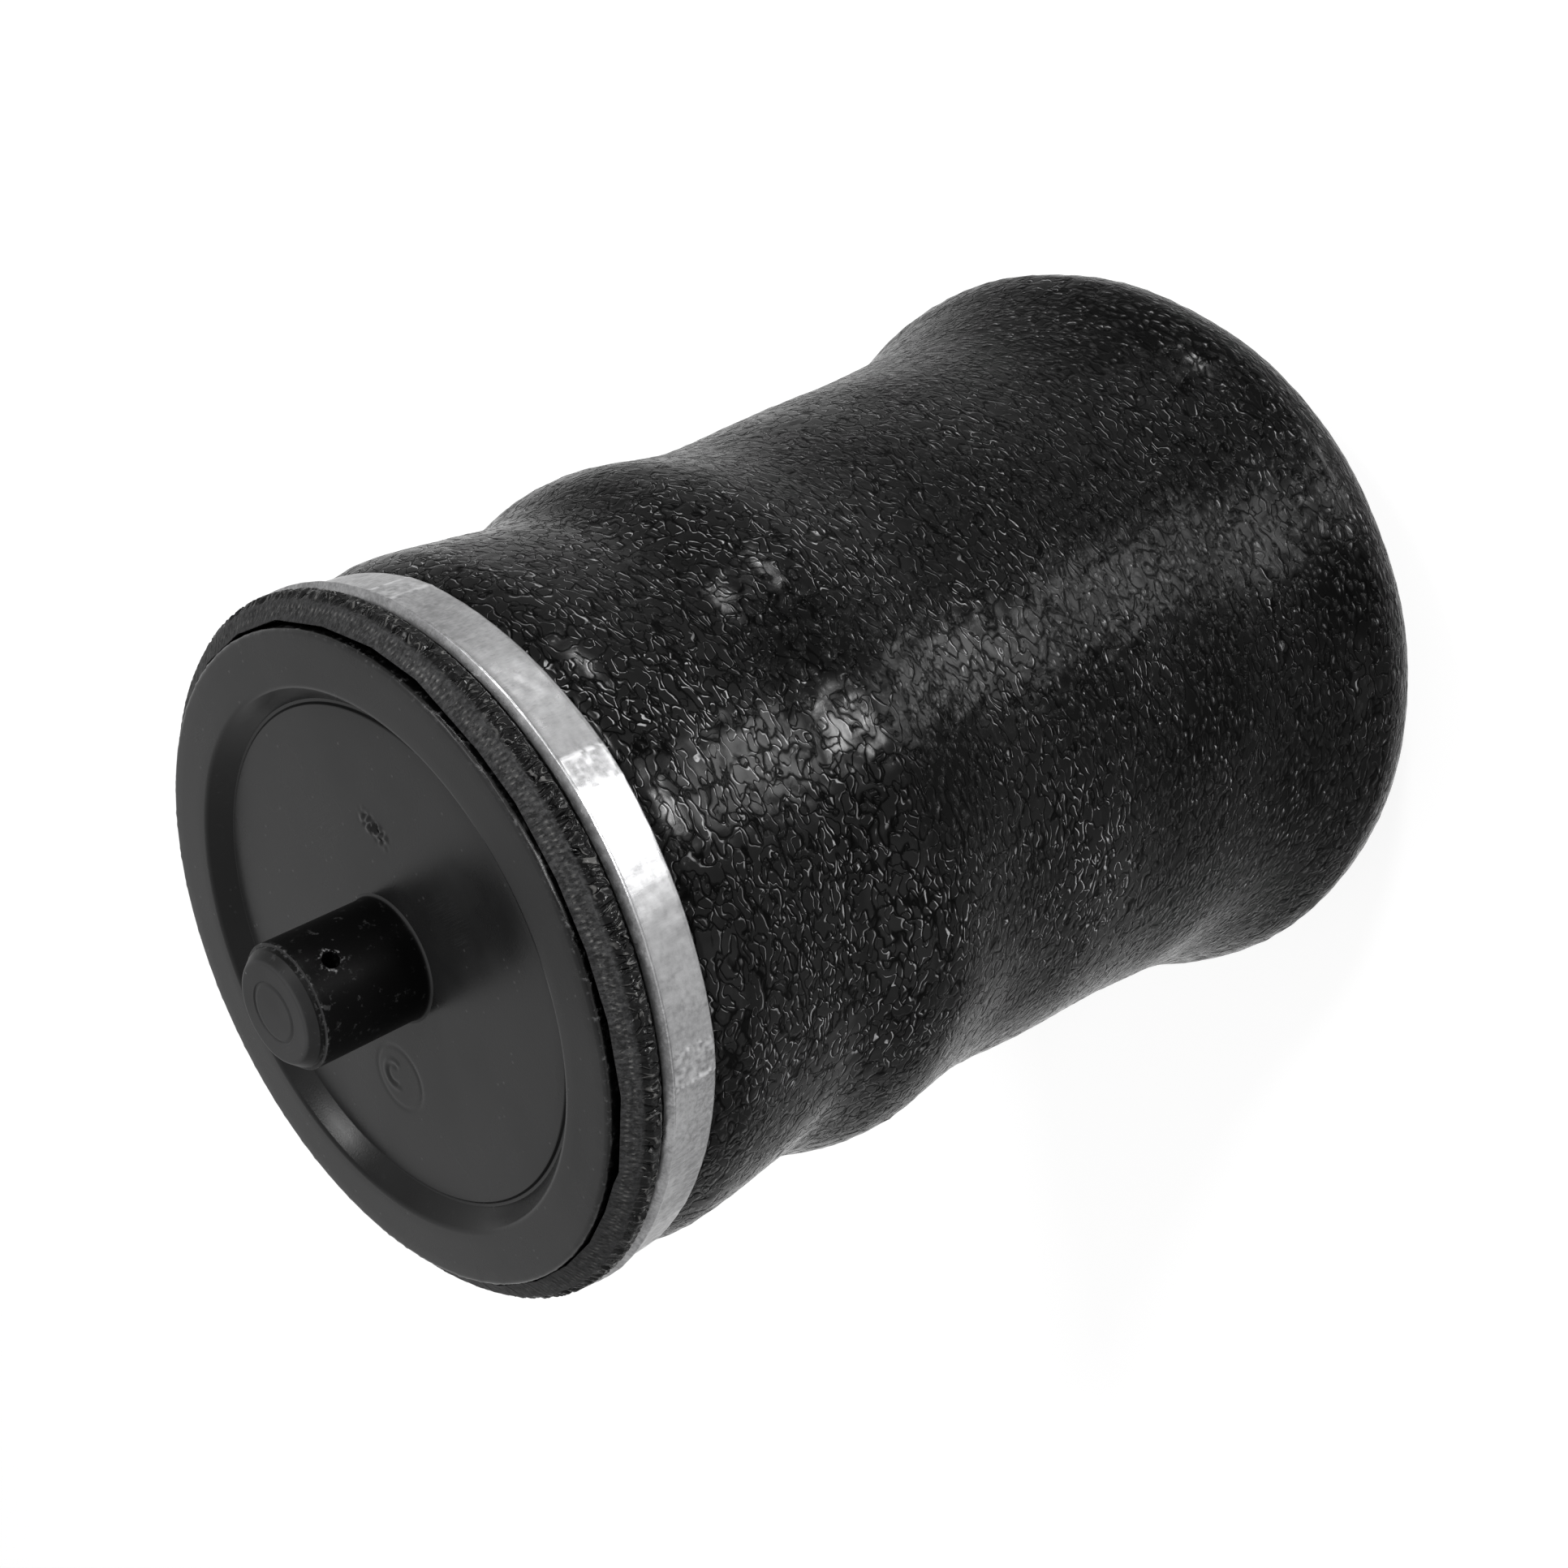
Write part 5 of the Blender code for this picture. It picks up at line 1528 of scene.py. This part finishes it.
@dataclass
class Piston:
    """The piston that the lobe rolls on, with its ribs and the boss of the air inlet, in millimetres."""

    radius: float = 38.0
    height: float = 94.0
    wall: float = 3.5
    deck: float = 8.0
    shoulder: float = 10.0
    top_radius: float = 33.0
    hub_radius: float = 11.5
    hub_top_radius: float = 9.0
    insert_radius: float = 7.15
    insert_depth: float = 18.6
    ribs: int = 12
    rib_width: float = 1.6
    inlet_offset: float = 22.8
    boss_radius: float = 10.3
    boss_bottom: float = 8.0
    boss_top: float = 28.0
    pipe_radius: float = 5.5
    bore_radius: float = 7.5
    bore_top: float = 23.0
    seat_radius: float = 9.4
    seat_top: float = 9.9
    air_radius: float = 2.4

    @property
    def under_deck(self) -> float:
        """The height of the deck's underside."""
        return self.height - self.deck

    def build(self) -> None:
        """Make the shell, the ribs and the inlet's boss."""
        ribs = [f"piston_rib_{number}" for number in range(1, self.ribs)]
        settle(self.shell().build("piston_shell"), PISTON_PLASTIC, Body.PISTON, "piston", "piston_hub")
        settle(self.rib_set(), PISTON_PLASTIC, Body.PISTON, *ribs)
        settle(self.boss().build("inlet_boss"), PISTON_PLASTIC, Body.PISTON, "piston_inlet")

    def shell(self) -> Surface:
        """Skirt, deck and hub in one turned outline, with the pocket of the threaded insert.

        Returns:
            The surface, in metres.
        """
        inside = self.radius - self.wall
        outline = rounded(
            [
                (0.0, self.insert_depth),
                (self.insert_radius, self.insert_depth),
                (self.insert_radius, 0.0, 0.3),
                (self.hub_radius, 0.0, 0.6),
                (self.hub_top_radius, self.under_deck, 2.0),
                (inside, self.under_deck, 2.5),
                (inside, 0.0, 0.4),
                (self.radius - 2.0, 0.0, 0.8),
                (self.radius, 2.0, 1.5),
                (self.radius, self.height - self.shoulder, 4.0),
                (self.top_radius, self.height, 1.0),
                (0.0, self.height),
            ],
            5,
        )
        return turned(finer(outline, 3.0 * MM, closed=False), 240, End.POLE)

    def rib_set(self) -> bpy.types.Object:
        """The ribs as one piece of separate slabs, thinner at their free edge, none at the inlet.

        Returns:
            The ribs.
        """
        starts = 0.5 * (self.insert_radius + self.hub_top_radius)
        parts = [self.rib(TAU * step / self.ribs, starts) for step in range(1, self.ribs)]
        first = parts[0]
        bpy.context.view_layer.update()
        with bpy.context.temp_override(active_object=first, selected_editable_objects=parts):
            bpy.ops.object.join()
        first.name = "piston_ribs"
        return first

    def rib(self, azimuth: float, start: float) -> bpy.types.Object:
        """One rib: a loop round its plan, with half-round ends, carried up and widened by its draft.

        Args:
            azimuth: The rib's azimuth in radians.
            start: The radius that it starts at, in millimetres.

        Returns:
            The rib.
        """
        end = self.radius - self.wall * 0.8
        bottom = 2.0
        middle, top = 0.5 * (bottom + self.under_deck), self.under_deck + 2.4
        heights = np.array([bottom, bottom + 0.15, bottom + 0.5, middle, top])
        halves = np.array([0.55, 0.82, 0.92, 0.97, 1.05]) * self.rib_width * 0.5
        turn = np.linspace(-math.pi / 2, math.pi / 2, 7)
        unit_x = np.concatenate([np.cos(turn), -np.cos(turn)])
        unit_y = np.concatenate([np.sin(turn), -np.sin(turn)])
        along = np.where(np.arange(unit_x.size) < 7, end, start)
        x = along[None, :] + halves[:, None] * unit_x[None, :]
        y = halves[:, None] * unit_y[None, :]
        z = np.repeat(heights[:, None], unit_x.size, axis=1)
        cosine, sine = math.cos(azimuth), math.sin(azimuth)
        points = np.stack([x * cosine - y * sine, x * sine + y * cosine, z], axis=-1) * MM
        return Surface(points, End.CAP).build("piston_rib")

    def boss(self) -> Surface:
        """The boss and pipe of the air inlet, bored in steps.

        Returns:
            The surface, in metres.
        """
        outline = rounded(
            [
                (self.seat_radius, self.boss_bottom, 0.2),
                (self.boss_radius, self.boss_bottom, 0.5),
                (self.boss_radius, self.boss_top, 2.0),
                (self.pipe_radius, self.boss_top + 4.0, 2.0),
                (self.pipe_radius, self.under_deck + 1.0),
                (self.air_radius, self.under_deck + 1.0),
                (self.air_radius, self.bore_top, 0.3),
                (self.bore_radius, self.bore_top),
                (self.bore_radius, self.seat_top, 0.2),
                (self.seat_radius, self.seat_top),
            ],
            4,
        )
        return turned(finer(outline, 3.0 * MM), 96, centre=(self.inlet_offset * MM, 0.0))


@dataclass
class CapScrew:
    """A socket-head screw that points up, in millimetres."""

    node: str
    body: Body
    radius: float
    head_radius: float
    head_height: float
    socket: float
    sides: int = 72

    def build(self) -> None:
        """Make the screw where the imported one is, its socket a hexagon and its head knurled."""
        low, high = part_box(self.node)
        centre = (0.5 * (low.x + high.x), 0.5 * (low.y + high.y))
        bottom, top = low.z / MM, high.z / MM
        seat = bottom + self.head_height
        rows = [
            (0.0, bottom + 0.55 * self.head_height + 0.3),
            (0.5 * self.socket, bottom + 0.55 * self.head_height),
            (0.5 * self.socket, bottom + 0.25),
            (0.5 * self.socket + 0.15, bottom),
            (self.head_radius - 0.5, bottom),
            (self.head_radius - 0.12, bottom + 0.25),
            (self.head_radius, bottom + 0.7),
            (self.head_radius, seat - 0.2),
            (self.head_radius - 0.15, seat),
            (self.radius, seat),
            (self.radius, top - 0.5),
            (self.radius - 0.5, top),
            (0.0, top),
        ]
        outline = np.array(rows) * MM
        radii = np.repeat(outline[:, :1], self.sides, axis=1)
        radii[1:3] = hexagon(self.socket, self.sides) * MM
        radii[3] = hexagon(self.socket + 0.3, self.sides) * MM
        radii[6:8] *= 1 - 0.012 * (1 + np.cos(24 * azimuths(self.sides)))
        surface = turned(outline, self.sides, End.POLE, centre, radii)
        settle(surface.build(f"{self.node}_steel"), SCREW_STEEL, self.body, self.node)


@dataclass
class ThreadedInsert:
    """A brass bush with a cut thread inside and knurled bands outside, in millimetres."""

    node: str
    body: Body
    bore: float
    outer: float
    pitch: float
    sides: int = 72

    def build(self) -> None:
        """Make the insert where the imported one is.

        The bore's radius swings with height and azimuth together, which draws one helical thread.
        """
        low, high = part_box(self.node)
        centre = (0.5 * (low.x + high.x), 0.5 * (low.y + high.y))
        bottom, top = low.z / MM, high.z / MM
        steps = int((top - bottom) / self.pitch * 6)
        inside = np.linspace(top, bottom + 0.4, steps)
        outside = np.linspace(bottom, top, 24)
        rows = [(self.bore, z) for z in inside] + [(self.bore + 0.5, bottom)]
        rows += [(self.outer, z) for z in outside]
        outline = np.array(rows) * MM
        angle = azimuths(self.sides)
        radii = np.repeat(outline[:, :1], self.sides, axis=1)
        phase = (inside[:, None] / self.pitch - angle[None, :] / TAU) % 1.0
        radii[:steps] += (0.42 * self.pitch * np.abs(phase - 0.5)) * MM
        share = (outside - bottom) / (top - bottom)
        band = ((share > 0.06) & (share < 0.4)) | ((share > 0.65) & (share < 0.95))
        knurl = 0.12 * (1 + np.cos(24 * angle))[None, :] * band[:, None]
        groove = 0.35 * ((share > 0.44) & (share < 0.6))[:, None]
        radii[steps + 1 :] -= (knurl + groove) * MM
        surface = turned(outline, self.sides, End.LOOP, centre, radii)
        settle(surface.build(f"{self.node}_brass"), INSERT_BRASS, self.body, self.node)


@dataclass
class AirInlet:
    """The push-in fitting in the piston's base, its seals, its collet and its retainer, in millimetres."""

    offset: float = 22.8
    tube_radius: float = 3.1
    air_radius: float = 2.1
    body_radius: float = 7.2
    mouth_radius: float = 6.0
    flats: float = 15.6
    flange_height: float = 3.2
    sides: int = 96

    @property
    def centre(self) -> tuple[float, float]:
        """The fitting's axis."""
        return (self.offset * MM, 0.0)

    def build(self) -> None:
        """Make the fitting and what it holds."""
        settle(self.fitting().build("air_fitting_brass"), INSERT_BRASS, Body.PISTON, "air_fitting")
        settle(self.retainer().build("collet_retainer_steel"), SCREW_STEEL, Body.PISTON, "collet_retainer")
        settle(self.collet(), COLLET_PLASTIC, Body.COLLET, "collet")
        for node in ("tube_seal", "fitting_seal", "closure_seal"):
            settle(self.ring(node).build(f"{node}_rubber"), SEAL_RUBBER, Body.PISTON, node)

    def fitting(self) -> Surface:
        """A turned body with a thread, over a hexagon flange.

        Returns:
            The surface, in metres.
        """
        low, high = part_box("air_fitting")
        bottom, top = low.z / MM, high.z / MM
        flange = bottom + self.flange_height
        mouth_end, seat_end = bottom + 11.5, bottom + 13.7
        rows = [
            (self.air_radius, top),
            (self.air_radius, top - 2.0),
            (self.tube_radius, top - 2.0),
            (self.tube_radius, seat_end),
            (5.0, seat_end),
            (5.0, mouth_end),
            (self.mouth_radius, mouth_end),
            (self.mouth_radius, bottom + 0.3),
            (self.mouth_radius + 0.3, bottom),
            (8.2, bottom),
            (8.6, bottom + 0.4),
            (8.6, flange - 0.3),
            (8.2, flange),
            (self.body_radius - 0.4, flange),
        ]
        thread = np.linspace(flange + 0.3, top - 0.6, 64)
        rows += [(self.body_radius, z) for z in thread] + [(self.body_radius - 0.8, top)]
        outline = np.array(rows) * MM
        angle = azimuths(self.sides)
        radii = np.repeat(outline[:, :1], self.sides, axis=1)
        radii[10:12] = np.minimum(hexagon(self.flats, self.sides) * MM, 8.85 * MM)
        phase = (thread[:, None] / 1.25 - angle[None, :] / TAU) % 1.0
        radii[14 : 14 + thread.size] -= 0.7 * np.abs(phase - 0.5) * MM
        return turned(outline, self.sides, End.LOOP, self.centre, radii)

    def retainer(self) -> Surface:
        """The ring in the fitting's mouth.

        Returns:
            The surface, in metres.
        """
        low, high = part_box("collet_retainer")
        bottom, top = low.z / MM, high.z / MM
        outline = rounded(
            [(4.4, bottom, 0.2), (5.7, bottom, 0.25), (5.7, top, 0.2), (5.0, top), (4.4, top - 0.8, 0.1)], 3
        )
        return turned(outline, self.sides, centre=self.centre)

    def collet(self) -> bpy.types.Object:
        """A head to press, and four fingers whose thick ends grip the tube.

        Returns:
            The collet.
        """
        low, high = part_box("collet")
        bottom, top = low.z / MM, high.z / MM
        head = rounded(
            [
                (3.3, bottom, 0.3),
                (5.6, bottom, 0.4),
                (5.6, bottom + 1.3, 0.2),
                (4.1, bottom + 1.3, 0.15),
                (4.1, bottom + 2.4),
                (3.3, bottom + 2.4),
            ],
            3,
        )
        parts = [turned(head, self.sides, centre=self.centre).build("collet_head")]
        parts += [self.finger(step, bottom + 2.0, top) for step in range(4)]
        bpy.context.view_layer.update()
        with bpy.context.temp_override(active_object=parts[0], selected_editable_objects=parts):
            bpy.ops.object.join()
        parts[0].name = "collet_acetal_part"
        return parts[0]

    def finger(self, step: int, bottom: float, top: float) -> bpy.types.Object:
        """One finger: a loop along its outer arc and back along its inner one, carried upwards.

        Args:
            step: The finger's number, from 0.
            bottom: Its lower end's height, in millimetres.
            top: Its upper end's height, in millimetres.

        Returns:
            The finger.
        """
        heights = np.array([bottom, top - 2.4, top - 1.6, top - 0.6, top])
        outer = np.array([4.1, 4.1, 4.7, 4.7, 4.1])
        inner = np.array([3.25, 3.25, 3.25, 3.1, 3.15])
        half = math.pi / 4 - 0.11
        sweep = np.linspace(-half, half, 9) + step * math.pi / 2
        angle = np.concatenate([sweep, sweep[::-1]])
        side = np.arange(angle.size) < sweep.size
        radius = np.where(side[None, :], outer[:, None], inner[:, None])
        x = self.offset + radius * np.cos(angle)
        z = np.repeat(heights[:, None], angle.size, axis=1)
        points = np.stack([x, radius * np.sin(angle), z], axis=-1)
        return Surface(points * MM, End.CAP).build("collet_finger")

    def ring(self, node: str) -> Surface:
        """An O-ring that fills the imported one's box: a small circle carried round a large one.

        Args:
            node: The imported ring's node.

        Returns:
            The surface, in metres.
        """
        low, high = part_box(node)
        cord = 0.5 * (high.z - low.z) * 1.08
        radius = 0.5 * (high.x - low.x) - cord
        turn = azimuths(20)
        height = 0.5 * (low.z + high.z) + 0.93 * cord * np.sin(turn)
        outline = np.stack([radius + cord * np.cos(turn), height], axis=1)
        return turned(outline, self.sides, centre=self.centre)


@dataclass
class HiddenParts:
    """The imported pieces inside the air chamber, which keep their shape and get their finish."""

    finishes: dict[str, Finish] = field(
        default_factory=lambda: {
            "bump_stop": STOP_FOAM,
            "bump_stop_washer": SCREW_STEEL,
            "plate_insert": INSERT_BRASS,
            "closure": PISTON_PLASTIC,
            **{f"closure_insert_{number}": INSERT_BRASS for number in range(1, 5)},
            **{f"plate_rib_{number}": PISTON_PLASTIC for number in range(1, 9)},
        }
    )

    def build(self) -> None:
        """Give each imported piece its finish."""
        for node, finish in self.finishes.items():
            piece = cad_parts[node]
            piece.data.materials.clear()
            piece.data.materials.append(finish.material())
            log.info("%s keeps its packed shape", node)


# Stage


@dataclass
class Lamp:
    """A soft square lamp, placed by its direction in the photograph: right, up and towards the viewer."""

    name: str
    direction: tuple[float, float, float]
    distance: float
    width: float
    power: float

    def build(self, studio: "Studio") -> None:
        """Add the lamp, aimed at the middle of the spring.

        Args:
            studio: The studio that the lamp belongs to.
        """
        toward = studio.view_axes() @ Vector(self.direction).normalized()
        data = bpy.data.lights.new(self.name, "AREA")
        data.shape, data.size, data.energy = "SQUARE", self.width, self.power
        lamp = bpy.data.objects.new(self.name, data)
        lamp.location = studio.middle + toward * self.distance
        lamp.rotation_euler = toward.to_track_quat("Z", "Y").to_euler()
        lamp.visible_camera = False
        bpy.context.scene.collection.objects.link(lamp)


@dataclass
class Studio:
    """Camera, floor, world and lamps."""

    place: tuple[float, float, float] = (0.0, -0.3094, 0.3528)
    right: tuple[float, float, float] = (-0.4268, -0.5678, -0.7038)
    up: tuple[float, float, float] = (0.9043, -0.2642, -0.3352)
    lens: float = 55.9
    sensor: float = 36.0
    middle: Vector = field(default_factory=lambda: Vector((0.0, 0.0, 0.1)))
    ambient: float = 0.32
    floor_size: float = 6.0
    floor_grey: float = 0.40
    floor_glow: float = 0.80
    lamps: tuple[Lamp, ...] = (
        Lamp("key_right", (0.524, 0.343, 0.772), 0.9, 0.16, 8.0),
        Lamp("window_left", (-0.60, 0.42, 0.68), 1.1, 0.25, 4.5),
        Lamp("front_above", (-0.09, 0.506, 0.858), 0.9, 0.09, 2.2),
        Lamp("top", (0.15, 0.93, 0.33), 1.0, 0.10, 2.8),
        Lamp("side_right", (0.81, 0.44, 0.42), 0.9, 0.26, 2.6),
        Lamp("side_far", (0.86, 0.51, 0.04), 0.9, 0.30, 3.6),
        Lamp("low_fill", (0.59, -0.55, 0.53), 1.0, 0.8, 2.0),
    )

    def view_axes(self) -> Matrix:
        """The camera's axes as columns: right, up and back towards the viewer."""
        right, up = Vector(self.right), Vector(self.up)
        return Matrix((right, up, right.cross(up))).transposed()

    def build(self) -> None:
        """Make the whole stage."""
        self.camera()
        self.floor()
        self.world()
        for lamp in self.lamps:
            lamp.build(self)
        bpy.context.scene.view_settings.view_transform = "Standard"
        log.info("stage is set")

    def camera(self) -> None:
        """The camera at the photograph's place and angle."""
        data = bpy.data.cameras.new("photo_camera")
        data.lens, data.sensor_width, data.sensor_height = self.lens, self.sensor, self.sensor
        data.sensor_fit = "HORIZONTAL"
        data.clip_start = 0.01
        camera = bpy.data.objects.new("photo_camera", data)
        camera.matrix_world = Matrix.Translation(self.place) @ self.view_axes().to_4x4()
        bpy.context.scene.collection.objects.link(camera)
        bpy.context.scene.camera = camera

    def floor(self) -> None:
        """A pale floor that looks white where it is lit and keeps the spring's shadow."""
        size = self.floor_size
        corners = [(-size, -size, 0), (size, -size, 0), (size, size, 0), (-size, size, 0)]
        mesh = bpy.data.meshes.new("floor")
        mesh.from_pydata(corners, [], [(0, 1, 2, 3)])
        made = bpy.data.objects.new("floor", mesh)
        # The side lamps stand below the floor's level, so it lets their light and mirror image through.
        made.visible_shadow = made.visible_glossy = False
        bpy.context.scene.collection.objects.link(made)
        material = bpy.data.materials.new("white_floor")
        material.use_nodes = True
        graph = Graph(material.node_tree)
        shader = material.node_tree.nodes["Principled BSDF"].inputs
        shader["Base Color"].default_value = (*[self.floor_grey] * 3, 1.0)
        shader["Roughness"].default_value = 0.9
        shader["Emission Color"].default_value = (1.0, 1.0, 1.0, 1.0)
        glow = graph.math("MULTIPLY", self.background_seen(graph), self.floor_glow)
        graph.feed(shader["Emission Strength"], glow)
        mesh.materials.append(material)

    def background_seen(self, graph: Graph) -> bpy.types.NodeSocket:
        """One for a ray that shows the background: from the camera, a reflection or through glass.

        Args:
            graph: The material's or group's node tree.

        Returns:
            The factor, 1 or 0.
        """
        path = graph.node("ShaderNodeLightPath").outputs
        shown = graph.math("MAXIMUM", path["Is Camera Ray"], path["Is Glossy Ray"])
        return graph.math("MAXIMUM", shown, path["Is Transmission Ray"])

    def world(self) -> None:
        """White to the camera and in reflections, soft grey light to everything else."""
        world = bpy.data.worlds.new("soft_surroundings")
        bpy.context.scene.world = world
        world.use_nodes = True
        graph = Graph(world.node_tree)
        background = world.node_tree.nodes["Background"]
        seen = self.background_seen(graph)
        strength = graph.node("ShaderNodeMix", {0: seen, 2: self.ambient, 3: 1.0}).outputs[0]
        graph.feed(background.inputs["Strength"], strength)
        background.inputs["Color"].default_value = (1.0, 1.0, 1.0, 1.0)


def main() -> None:
    """Build the stage, then the spring from the top down."""
    logging.basicConfig(level=logging.INFO, format="%(name)s: %(message)s")
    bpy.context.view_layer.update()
    Studio().build()
    plate = EndPlate()
    plate.build()
    CrimpRing("upper_crimp_ring", Body.PLATE, 51.6).build()
    Sleeve(rim=plate.rim).build()
    CrimpRing("lower_crimp_ring", Body.PISTON, 34.6).build()
    Piston().build()
    ThreadedInsert("base_insert", Body.PISTON, 4.25, 6.85, 1.5).build()
    for number in range(1, 5):
        CapScrew(f"closure_screw_{number}", Body.PISTON, 2.5, 4.2, 4.5, 4.0).build()
    CapScrew("bump_stop_screw", Body.PLATE, 4.0, 6.5, 6.0, 6.0).build()
    AirInlet().build()
    HiddenParts().build()


if __name__ == "__main__":
    main()
